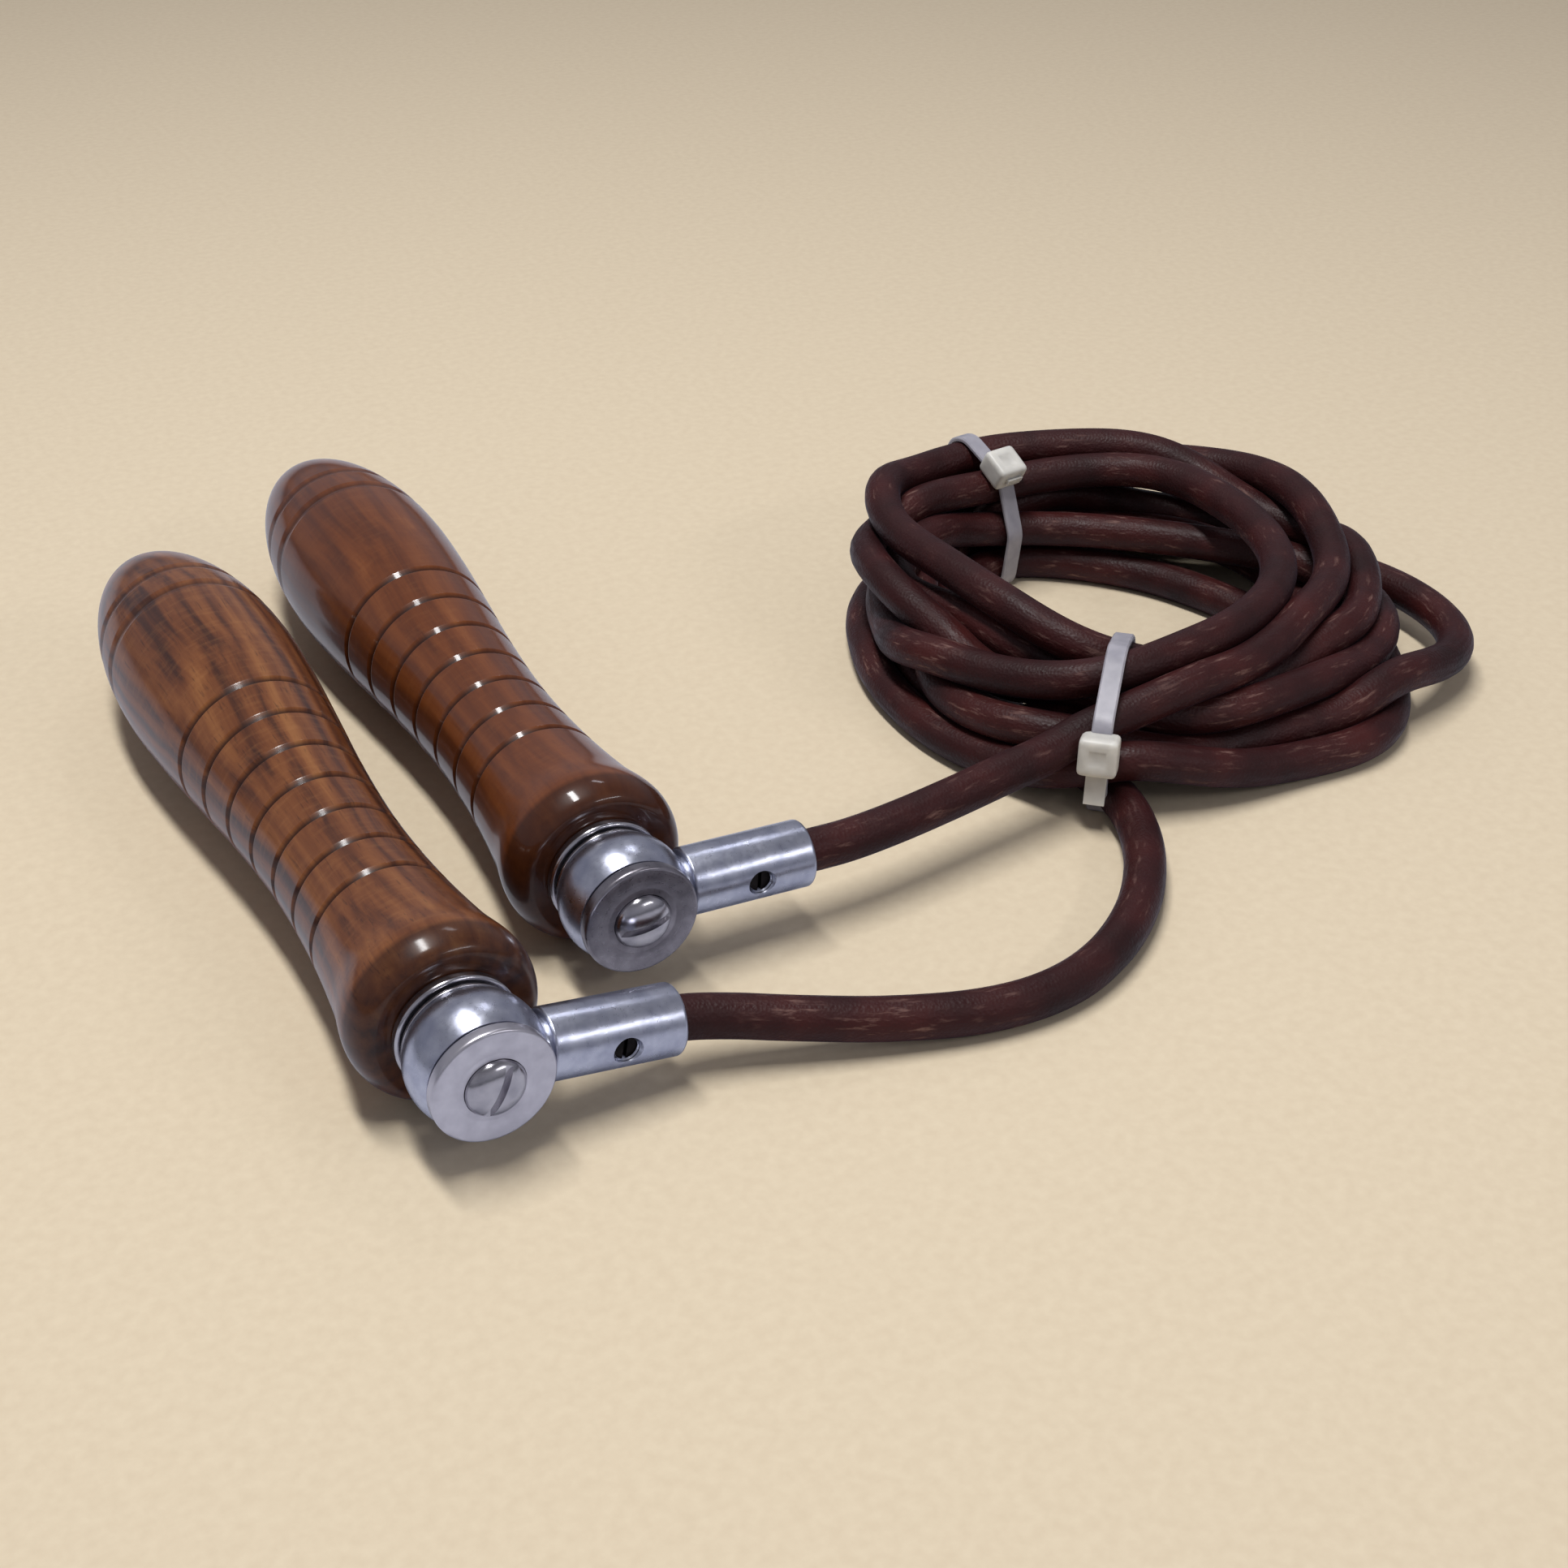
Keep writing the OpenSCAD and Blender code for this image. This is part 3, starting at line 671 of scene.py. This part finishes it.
def lacqueredWood(name, facts):
    # turned hardwood under clear lacquer: long dark figure, open pores, a hard wet gloss
    material, tree, shader = newMaterial(name, **{
        "Coat Weight": facts["coat"], "Coat Roughness": facts["coatRoughness"], "Coat IOR": 1.42,
        "IOR": 1.45, "Specular IOR Level": 0.2})
    at = addNode(tree, "ShaderNodeAttribute", {"attribute_name": "turned"}).outputs["Vector"]
    bent = addNode(tree, "ShaderNodeTexNoise", {"Scale": 1 / (45 * mm), "Detail": 2}, {"Vector": at})
    # growth rings round a pith outside the blank, and streaks along the grain, both bent by 7 mm
    shift = addNode(tree, "ShaderNodeVectorMath",
                    {"operation": "MULTIPLY_ADD", 1: (7 * mm, 7 * mm, 7 * mm)},
                    {0: bent.outputs["Color"], 2: at})
    pith = addNode(tree, "ShaderNodeMapping", {"Location": facts["pith"], "Scale": (1, 0.06, 1)},
                   {"Vector": shift.outputs[0]})
    far = addNode(tree, "ShaderNodeVectorMath", {"operation": "LENGTH"}, {0: pith.outputs[0]})
    rings = addNode(tree, "ShaderNodeMath",
                    {"operation": "MULTIPLY", 1: 2 * math.pi / facts["ringSpacing"]},
                    {0: far.outputs["Value"]})
    wave = addNode(tree, "ShaderNodeMath", {"operation": "SINE"}, {0: rings.outputs[0]})
    long = addNode(tree, "ShaderNodeMapping", {"Scale": (1, 0.016, 1)}, {"Vector": shift.outputs[0]})
    streak = addNode(tree, "ShaderNodeTexNoise", {"Scale": 1 / (1.9 * mm), "Detail": 5, "Roughness": 0.58},
                     {"Vector": long.outputs[0]})
    broad = addNode(tree, "ShaderNodeTexNoise", {"Scale": 1 / (7 * mm), "Detail": 3},
                    {"Vector": long.outputs[0]})
    band = addNode(tree, "ShaderNodeMath", {"operation": "MULTIPLY_ADD", 1: facts["ringStrength"]},
                   {0: wave.outputs[0], 2: streak.outputs[0]})
    mixed = addNode(tree, "ShaderNodeMath", {"operation": "ADD"}, {0: band.outputs[0], 1: broad.outputs[0]})
    figure = addNode(tree, "ShaderNodeMapRange", {"From Min": 0.55, "From Max": 1.38},
                     {"Value": mixed.outputs[0]})
    tone = addNode(tree, "ShaderNodeValToRGB", {"stops": facts["tones"]}, {"Fac": figure.outputs[0]})
    # pores are 0.1 mm wide in such wood, and are drawn at 0.4 mm so that they show
    poreAt = addNode(tree, "ShaderNodeMapping", {"Scale": (1, 0.07, 1)}, {"Vector": at})
    pore = addNode(tree, "ShaderNodeTexNoise", {"Scale": 1 / (0.42 * mm), "Detail": 2},
                   {"Vector": poreAt.outputs[0]})
    poreMask = addNode(tree, "ShaderNodeMapRange",
                       {"From Min": 0.6, "From Max": 0.75, "To Max": facts["pores"]},
                       {"Value": pore.outputs[0]})
    pored = addNode(tree, "ShaderNodeMix", {"data_type": "RGBA", 7: linearOf("#24100a")},
                    {0: poreMask.outputs[0], 6: tone.outputs[0]})
    # short cross flecks that catch the light where the grain curls
    curlAt = addNode(tree, "ShaderNodeMapping", {"Scale": (0.3, 1, 0.3)}, {"Vector": at})
    curl = addNode(tree, "ShaderNodeTexNoise", {"Scale": 1 / (1.1 * mm), "Detail": 3},
                   {"Vector": curlAt.outputs[0]})
    curlMask = addNode(tree, "ShaderNodeMapRange",
                       {"From Min": 0.5, "From Max": 0.75, "To Max": facts["curl"]},
                       {"Value": curl.outputs[0]})
    flecked = addNode(tree, "ShaderNodeMix", {"data_type": "RGBA", 7: linearOf("#b07a4a")},
                      {0: curlMask.outputs[0], 6: pored.outputs[2]})
    # painted shade darkens the grooves; the flare's end face is darker for its end grain and for painted
    # shade next to the collar
    groove = addNode(tree, "ShaderNodeAttribute", {"attribute_name": "groove"})
    along = addNode(tree, "ShaderNodeSeparateXYZ", {}, {0: at})
    # darker towards the front end: partly the end grain's own colour, partly painted shade next to the collar
    endGrainAndShade = addNode(tree, "ShaderNodeMapRange",
                      {"From Min": 5.6 * mm, "From Max": 4.4 * mm, "To Max": 0.66},
                      {"Value": along.outputs["Y"]})
    # painted shade in the grooves
    grooveShade = addNode(tree, "ShaderNodeMapRange", {"From Min": 0.15, "From Max": 0.8, "To Max": 0.8},
                   {"Value": groove.outputs["Fac"]})
    shadeOf = addNode(tree, "ShaderNodeMath", {"operation": "MAXIMUM"},
                      {0: endGrainAndShade.outputs[0], 1: grooveShade.outputs[0]})
    wood = addNode(tree, "ShaderNodeMix", {"data_type": "RGBA", 7: linearOf("#200b06")},
                   {0: shadeOf.outputs[0], 6: flecked.outputs[2]})
    tree.links.new(wood.outputs[2], shader.inputs["Base Color"])
    rough = addNode(tree, "ShaderNodeMapRange", {"To Min": 0.3, "To Max": 0.5},
                    {"Value": streak.outputs[0]})
    tree.links.new(rough.outputs[0], shader.inputs["Roughness"])
    bump = addNode(tree, "ShaderNodeBump", {"Strength": 0.12, "Distance": 0.05 * mm},
                   {"Height": pore.outputs[0]})
    tree.links.new(bump.outputs[0], shader.inputs["Normal"])
    return material


woodFacts = {
    "a": {"name": "lacquered walnut", "pith": (21 * mm, 0, -34 * mm), "ringSpacing": 3.1 * mm,
          "ringStrength": 0.1, "pores": 0.5, "curl": 0.13, "coat": 0.7, "coatRoughness": 0.15,
          "tones": [(0.0, "#2a130c"), (0.25, "#422214"), (0.5, "#67391d"), (0.78, "#7b4926"),
                    (1.0, "#8c5930")]},
    "b": {"name": "lacquered rosewood", "pith": (-26 * mm, 0, -30 * mm), "ringSpacing": 4.2 * mm,
          "ringStrength": 0.05, "pores": 0.2, "curl": 0.05, "coat": 0.75, "coatRoughness": 0.09,
          "tones": [(0.0, "#43200f"), (0.3, "#552a13"), (0.6, "#673516"), (0.85, "#723d1a"),
                    (1.0, "#7d4721")]},
}


def mendMesh(mesh, place=None):
    # merges doubled points, moves the shape to its place and turns its faces outward
    work = bmesh.new()
    work.from_mesh(mesh)
    bmesh.ops.remove_doubles(work, verts=work.verts, dist=1e-5)
    if place is not None:
        bmesh.ops.transform(work, matrix=place, verts=work.verts)
    bmesh.ops.recalc_face_normals(work, faces=work.faces)
    work.to_mesh(mesh)
    work.free()


def finishPiece(piece, place, sharpAngle):
    mendMesh(piece.data, place)
    piece.data.shade_smooth()
    piece.data.set_sharp_from_angle(angle=math.radians(sharpAngle))


def makeHandle(side, tree):
    wood = lacqueredWood(woodFacts[side]["name"], woodFacts[side])
    points, faces = turnOnAxis(handleOutline(handleFacts), handleFacts["sides"])
    handle = meshPiece("turned_handle_" + side, points, faces)
    storeVector(handle, "turned", np.array(points) * mm)
    layer = handle.data.attributes.new("groove", "FLOAT", "POINT")
    layer.data.foreach_set("value", np.zeros(len(points), np.float32))
    for row in ("gripGrooves", "tipGrooves"):
        sizes = {name: float(size) for name, size in handleFacts[row].items()}
        runTree(handle, tree, {**sizes, "Wood": wood})
    finishPiece(handle, handlePlace(side), 60)
    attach(handle, "handle_" + side)
    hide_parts("wooden_handle_" + side)


grooves = grooveTree()
for side in "ab":
    makeHandle(side, grooves)
print("handles turned")

# Swivels: nickel-plated steel round each handle's long screw, along the handle's own axis
swivelFacts = {
    "barrelAt": -8.0,
    "barrelLength": 9.2,
    "barrelRadius": 10.3,
    "barrelEndRadius": 9.3,
    "barrelEdge": 0.35,
    "ballCircle": 5.6,
    "ballRow": 2.5,
    "race": 1.25,
    "bore": 5.0,
    "discRadius": 9.4,
    "discFront": -15.2,
    "discThick": 2.2,
    "discRound": 0.55,
    "discLine": (5.5, 0.3, 0.03),  # fine turned ring on the disc's face: radius, width, height
    "seatGap": 0.04,  # round the screw's head
    "screwRadius": 2.5,
    "clearRadius": 2.6,  # holes that the screw passes through
    "screwHead": 4.6,
    "headRise": 2.2,
    "headSink": 0.4,
    "headEdge": 0.4,
    "screwEnd": 34.0,
    "screwPoint": 4.0,
    "slotWide": 1.15,
    "slotDeep": 1.3,
    "slotReach": 6.0,
    "washerAt": -3.0,
    "washerThick": 0.6,
    "washerRadius": 8.9,
    "collarThick": 1.8,
    "collarRadius": 9.45,
    "collarStep": 6.4,
    "edgeRound": 0.5,
    "sides": 128,
}
ferruleFacts = {
    "radius": 5.5,
    "shoulder": 9.9,
    "mouth": 31.1,
    "stemRadius": 4.3,
    "stemFrom": 8.0,
    "socketFrom": 14.1,
    "socketRadius": 3.6,
    "lip": 0.7,
    "innerLip": 0.25,
    "edgeRound": 0.5,
    "holeAt": 21.3,
    "holeRadius": 2.0,
    "holeChamfer": 0.5,
    "threadFrom": 1.0,
    "threadPitch": 0.5,
    "threadDeep": 0.18,
}


def arcOf(centreY, centreR, radius, start, end, steps):
    # (along, radius) points, with the angle measured from outward towards +along
    angles = np.radians(np.linspace(start, end, steps + 1))
    return [(centreY + radius * math.sin(a), centreR + radius * math.cos(a)) for a in angles]


def barrelOutline(f):
    half = f["barrelLength"] / 2
    rise = f["barrelRadius"] - f["barrelEndRadius"]
    reach = half - f["barrelEdge"]
    arcRadius = (reach * reach + rise * rise) / (2 * rise)
    angle = math.degrees(math.asin(reach / arcRadius))
    outside = arcOf(0, f["barrelRadius"] - arcRadius, arcRadius, -angle, angle, 44)
    edge = arcOf(reach, f["barrelEndRadius"] - f["barrelEdge"], f["barrelEdge"], 60, 90, 4)
    raceEnd = 90 - math.degrees(math.acos((f["bore"] - f["ballCircle"]) / f["race"]))
    cup = arcOf(f["ballRow"], f["ballCircle"], f["race"], 0, -90 + raceEnd, 10)
    oneEnd = edge + [(half, f["ballCircle"] + f["race"])] + cup
    outline = outside + oneEnd + [(-y, r) for y, r in reversed(oneEnd)]
    return [(y + f["barrelAt"], r) for y, r in outline]


def ringOutline(at, thick, outer, inner, rounding, steps=6):
    return ([(at, inner)] + arcOf(at + rounding, outer - rounding, rounding, -90, 0, steps)
            + arcOf(at + thick - rounding, outer - rounding, rounding, 0, 90, steps) + [(at + thick, inner)])


def discOutline(f):
    # plain face with one fine turned ring round the screw head's seat
    at, end, seat = f["discFront"], f["discFront"] + f["discThick"], f["screwHead"] + f["seatGap"]
    line, wide, high = f["discLine"]
    front = [(at + f["headSink"], f["clearRadius"]), (at + f["headSink"], seat), (at, seat + 0.05)]
    front += [(at, line), (at + high, line + wide / 2), (at, line + wide)]
    rim = arcOf(at + f["discRound"], f["discRadius"] - f["discRound"], f["discRound"], -90, 0, 8)
    back = arcOf(end - f["edgeRound"], f["discRadius"] - f["edgeRound"], f["edgeRound"], 0, 90, 6)
    return front + rim + back + [(end, f["clearRadius"])]


def collarOutline(f):
    # a ring against the wood, with a step that reaches out to the washer
    inner, step, edge = f["clearRadius"], f["collarStep"], f["edgeRound"]
    outer = arcOf(-f["collarThick"] + edge, f["collarRadius"] - edge, edge, -90, 0, 6)
    outer += arcOf(-edge, f["collarRadius"] - edge, edge, 0, 90, 6)
    front = f["washerAt"] + f["washerThick"]
    return [(front, inner), (front, step), (-f["collarThick"], step)] + outer + [(0, inner)]


def screwOutline(f):
    seat = f["discFront"] + f["headSink"]
    dome = f["headSink"] + f["headRise"] - f["headEdge"]
    head = [(seat - f["headEdge"] - dome * math.sin(a), f["screwHead"] * math.cos(a))
            for a in np.linspace(math.pi / 2, 0, 18)]
    return head + [(seat, f["screwHead"]), (seat, f["screwRadius"]),
                   (f["screwEnd"] - f["screwPoint"], f["screwRadius"]), (f["screwEnd"], 0)]


def ferruleOutline(f):
    # along its own axis, from the handle's axis outward
    edge, lip, inside = f["edgeRound"], f["lip"], f["innerLip"]
    outer = [(f["stemFrom"], 0), (f["stemFrom"], f["stemRadius"]), (f["shoulder"], f["stemRadius"])]
    outer += arcOf(f["shoulder"] + edge, f["radius"] - edge, edge, -90, 0, 6)
    outer += arcOf(f["mouth"] - lip, f["radius"] - lip, lip, 0, 90, 8)
    inner = arcOf(f["mouth"] - inside, f["socketRadius"] + inside, inside, 90, 180, 4)
    return outer + inner + [(f["socketFrom"], f["socketRadius"]), (f["socketFrom"], 0)]


def cutWith(piece, points, faces):
    cutter = meshPiece("cutter", points, faces)
    mendMesh(cutter.data)
    modifier = piece.modifiers.new("cut", "BOOLEAN")
    modifier.operation = "DIFFERENCE"
    modifier.solver = "EXACT"
    modifier.object = cutter
    bakeModifiers(piece)
    bpy.data.objects.remove(cutter)


def slotCutter(f, turnedBy):
    # a long box through the screw's head, turned about its axis
    top = f["discFront"] - f["headRise"]
    points = [(x, y, z) for x in (-f["slotReach"], f["slotReach"]) for y in (top - 1, top + f["slotDeep"])
              for z in (-f["slotWide"] / 2, f["slotWide"] / 2)]
    turn = Matrix.Rotation(math.radians(turnedBy), 3, "Y")
    faces = [(0, 1, 3, 2), (4, 6, 7, 5), (0, 4, 5, 1), (2, 3, 7, 6), (0, 2, 6, 4), (1, 5, 7, 3)]
    return [turn @ Vector(p) for p in points], faces


def platedNickel(name, facts):
    # nickel plate over turned steel: bright, with a waviness from hand polishing; the cool tint of its tones
    # is a painted reflection of cool surroundings
    material, tree, shader = newMaterial(name, **{"Metallic": 1.0})
    if facts.get("asNode"):  # a piece kept as the frame has it
        at = addNode(tree, "ShaderNodeTexCoord").outputs["Object"]
    else:
        at = addNode(tree, "ShaderNodeAttribute", {"attribute_name": "turned"}).outputs["Vector"]
    cloud = addNode(tree, "ShaderNodeTexNoise", {"Scale": 1 / (3.5 * mm), "Detail": 3}, {"Vector": at})
    tone = addNode(tree, "ShaderNodeValToRGB", {"stops": [(0.3, facts["dark"]), (0.65, facts["light"])]},
                   {"Fac": cloud.outputs[0]})
    tree.links.new(tone.outputs[0], shader.inputs["Base Color"])
    # turning marks: a noise that is drawn out round the axis
    parts = addNode(tree, "ShaderNodeSeparateXYZ", {}, {0: at})
    flat = addNode(tree, "ShaderNodeCombineXYZ", {}, {"X": parts.outputs["X"], "Z": parts.outputs["Z"]})
    out = addNode(tree, "ShaderNodeVectorMath", {"operation": "LENGTH"}, {0: flat.outputs[0]})
    turned = addNode(tree, "ShaderNodeCombineXYZ", {}, {"X": out.outputs["Value"], "Y": parts.outputs["Y"]})
    lines = addNode(tree, "ShaderNodeTexNoise", {"Scale": 1 / (0.3 * mm), "Detail": 4},
                    {"Vector": turned.outputs[0]})
    fine = addNode(tree, "ShaderNodeTexNoise", {"Scale": 1 / (0.8 * mm), "Detail": 5, "Roughness": 0.7},
                   {"Vector": at})
    both = addNode(tree, "ShaderNodeMath", {"operation": "MULTIPLY_ADD", 1: facts["lines"]},
                   {0: lines.outputs[0], 2: fine.outputs[0]})
    rough = addNode(tree, "ShaderNodeMapRange",
                    {"From Min": 0.3, "From Max": 0.8 + 0.5 * facts["lines"],
                     "To Min": facts["rough"][0], "To Max": facts["rough"][1]},
                    {"Value": both.outputs[0]})
    tree.links.new(rough.outputs[0], shader.inputs["Roughness"])
    wavy = addNode(tree, "ShaderNodeTexNoise", {"Scale": 1 / (2.2 * mm), "Detail": 1}, {"Vector": at})
    height = addNode(tree, "ShaderNodeMath", {"operation": "MULTIPLY_ADD", 1: facts["marks"]},
                     {0: both.outputs[0], 2: wavy.outputs[0]})
    bump = addNode(tree, "ShaderNodeBump", {"Strength": facts["bump"], "Distance": 0.05 * mm},
                   {"Height": height.outputs[0]})
    tree.links.new(bump.outputs[0], shader.inputs["Normal"])
    return material


# the nickel tones lean blue-lilac as a painted reflection of cool surroundings
polished = platedNickel("polished nickel plate", {
    "dark": "#a9adc0", "light": "#cdd0de", "lines": 0.3, "rough": (0.24, 0.34), "marks": 0.02, "bump": 0.8})
bright = platedNickel("turned nickel plate", {
    "dark": "#a8a6ae", "light": "#cbc8cd", "lines": 0.8, "rough": (0.12, 0.24), "marks": 0.08, "bump": 0.5})
satin = platedNickel("satin nickel plate", {
    "dark": "#c2bfc7", "light": "#d9d6dd", "lines": 1.0, "rough": (0.24, 0.36), "marks": 0.1, "bump": 0.4})
# end disc B: its own wear and scratches, and a darker tone that is painted shade standing for its dimmer
# reflection
worn = platedNickel("worn and shade-darkened nickel plate", {
    "dark": "#7f7b82", "light": "#a5a1a8", "lines": 0.7, "rough": (0.16, 0.4), "marks": 0.45, "bump": 0.6})
steel = platedNickel("hardened bearing steel", {
    "dark": "#8f8f92", "light": "#b4b4b6", "lines": 0.4, "rough": (0.15, 0.3), "marks": 0.15, "bump": 0.3,
    "asNode": True})
blackSteel = platedNickel("blackened screw steel", {
    "dark": "#181615", "light": "#2e2a29", "lines": 0.6, "rough": (0.35, 0.5), "marks": 0.3, "bump": 0.5,
    "asNode": True})


def addMetal(name, outline, side, node, body, material, place=None, closed=True, cuts=()):
    points, faces = turnOnAxis(outline, swivelFacts["sides"], closed)
    piece = meshPiece(name + "_" + side, points, faces)
    mendMesh(piece.data)
    for shape in cuts:
        cutWith(piece, *shape)
    spots = np.empty(len(piece.data.vertices) * 3)
    piece.data.vertices.foreach_get("co", spots)
    storeVector(piece, "turned", spots.reshape(-1, 3) * mm)
    finishPiece(piece, handlePlace(side) @ (place or Matrix()), 32)
    piece.data.materials.clear()
    piece.data.materials.append(material)
    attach(piece, body)
    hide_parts(node + "_" + side)
    return piece


def threadedCutter(f):
    # a tapped hole: its wall steps in and out by the thread, and its edge is broken
    out, root, wide = f["threadFrom"], f["holeRadius"], f["holeRadius"] + f["holeChamfer"]
    wall = [(out - 0.1, 0)]
    while out < f["radius"] - f["holeChamfer"]:
        wall += [(out, root - f["threadDeep"]), (out + f["threadPitch"] / 2, root)]
        out += f["threadPitch"]
    wall += [(f["radius"] - f["holeChamfer"] - 0.05, root), (f["radius"] + 0.2, wide)]
    wall += [(f["radius"] + 1, wide), (f["radius"] + 1, 0)]
    points, faces = turnOnAxis([(-y, r) for y, r in wall], 40)
    # the hole meets the ferrule, which is turned along +y, from its side
    return [(x, f["holeAt"] + z, -y) for x, y, z in points], faces


for side in "ab":
    s, f = swivelFacts, ferruleFacts
    handle, swivel = "handle_" + side, "rope_assembly"
    washer = ringOutline(s["washerAt"], s["washerThick"], s["washerRadius"], s["clearRadius"], 0.2)
    addMetal("swivel_barrel_turned", barrelOutline(s), side, "swivel_barrel",
             swivel, polished)
    addMetal("collar_ring_turned", collarOutline(s), side, "collar_ring", handle, bright)
    addMetal("dust_washer_turned", washer, side, "dust_washer", handle, bright)
    # disc B's darker plate is partly wear, partly painted shade
    addMetal("end_disc_turned", discOutline(s), side, "end_disc", handle,
             {"a": satin, "b": worn}[side])
    addMetal("slotted_screw", screwOutline(s), side, "handle_screw", handle, bright,
             closed=False, cuts=[slotCutter(s, layout[side]["slot"])])
    # the ferrule is turned along +y and then swung round to point along its droop
    swing = (Matrix.Translation((0, s["barrelAt"], 0))
             @ Matrix.Rotation(math.radians(90 + layout[side]["droop"]), 4, "Y")
             @ Matrix.Rotation(math.radians(90), 4, "X"))
    addMetal("rope_ferrule_turned", ferruleOutline(f), side, "rope_ferrule",
             swivel, polished, place=swing, closed=False, cuts=[threadedCutter(f)])
print("swivels turned")

# the bearings and set screws keep the frame's shapes
metalOf = {"rear_cone": steel, "front_cone": steel, "rear_balls": steel, "front_balls": steel,
           "spacer_sleeve": steel, "ferrule_set_screw": blackSteel}
for node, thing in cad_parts.items():
    metal = metalOf.get(node[:-2])
    if metal:
        thing.data.materials.clear()
        thing.data.materials.append(metal)


def makeFloor():
    # pale matt paper sweep
    material, tree, shader = newMaterial("pale paper", **{"Roughness": 0.9, "Specular IOR Level": 0.2})
    at = addNode(tree, "ShaderNodeTexCoord").outputs["Object"]
    fibre = addNode(tree, "ShaderNodeTexNoise", {"Scale": 1 / (2 * mm), "Detail": 3}, {"Vector": at})
    tone = addNode(tree, "ShaderNodeValToRGB", {"stops": [(0.3, "#dbcaae"), (0.7, "#e1d1b5")]},
                   {"Fac": fibre.outputs[0]})
    # painted reflection: glossy rays see this floor as a cool grey-white in place of its beige, so metal and
    # lacquer mirror a cool tone
    rays = addNode(tree, "ShaderNodeLightPath")
    seen = addNode(tree, "ShaderNodeMix", {"data_type": "RGBA", 7: linearOf("#bfc0c8")},
                   {0: rays.outputs["Is Glossy Ray"], 6: tone.outputs[0]})
    tree.links.new(seen.outputs[2], shader.inputs["Base Color"])
    half = 4.0  # metres
    points = [(-half, -half, 0), (half, -half, 0), (half, half, 0), (-half, half, 0)]
    floor = meshPiece("floor", points, [(0, 1, 2, 3)])
    floor.data.materials.append(material)


lights = {
    # name: place, length across and along, power in watts, colour
    "overheadStrip": ((-0.07, -0.02, 0.95), (0.6, 0.1), 7.6, "#ffffff"),
    "sideStrip": ((0.45, 0.36, 0.85), (0.2, 0.06), 0.35, "#f4f6ff"),
    "frontStrip": ((0.42, -0.74, 0.52), (0.4, 0.045), 0.8, "#fbfbff"),
}
# the dome is dark at the horizon, a cool grey above it and dimmer overhead
sky = {
    "strength": 0.8,
    "stops": [(0.5, "#2b2a2f"), (0.55, "#85868f"), (0.62, "#a2a3ad"),
              (0.78, "#a4a4ac"), (0.92, "#7a7a82"), (1.0, "#6e6e75")],
}


def makeLight():
    aim = Vector((0.04, -0.02, 0.01))
    for name, (place, size, power, colour) in lights.items():
        data = bpy.data.lights.new(name, "AREA")
        data.shape = "RECTANGLE"
        data.size, data.size_y = size
        data.energy = power
        data.color = linearOf(colour)[:3]
        lamp = bpy.data.objects.new(name, data)
        lamp.location = place
        lamp.rotation_euler = (aim - Vector(place)).to_track_quat("-Z", "Y").to_euler()
        bpy.context.collection.objects.link(lamp)
    world = bpy.data.worlds.new("studio")
    world.use_nodes = True
    tree = world.node_tree
    tree.nodes.clear()
    up = addNode(tree, "ShaderNodeTexCoord")
    parts = addNode(tree, "ShaderNodeSeparateXYZ", {}, {0: up.outputs["Generated"]})
    height = addNode(tree, "ShaderNodeMapRange", {"From Min": -1.0, "From Max": 1.0},
                     {"Value": parts.outputs["Z"]})
    dome = addNode(tree, "ShaderNodeValToRGB", {"stops": sky["stops"]}, {"Fac": height.outputs[0]})
    back = addNode(tree, "ShaderNodeBackground", {"Strength": sky["strength"]}, {"Color": dome.outputs[0]})
    addNode(tree, "ShaderNodeOutputWorld", {}, {"Surface": back.outputs[0]})
    bpy.context.scene.world = world


makeFloor()
makeLight()
bpy.context.scene.view_settings.view_transform = "Standard"
print("floor and light set")
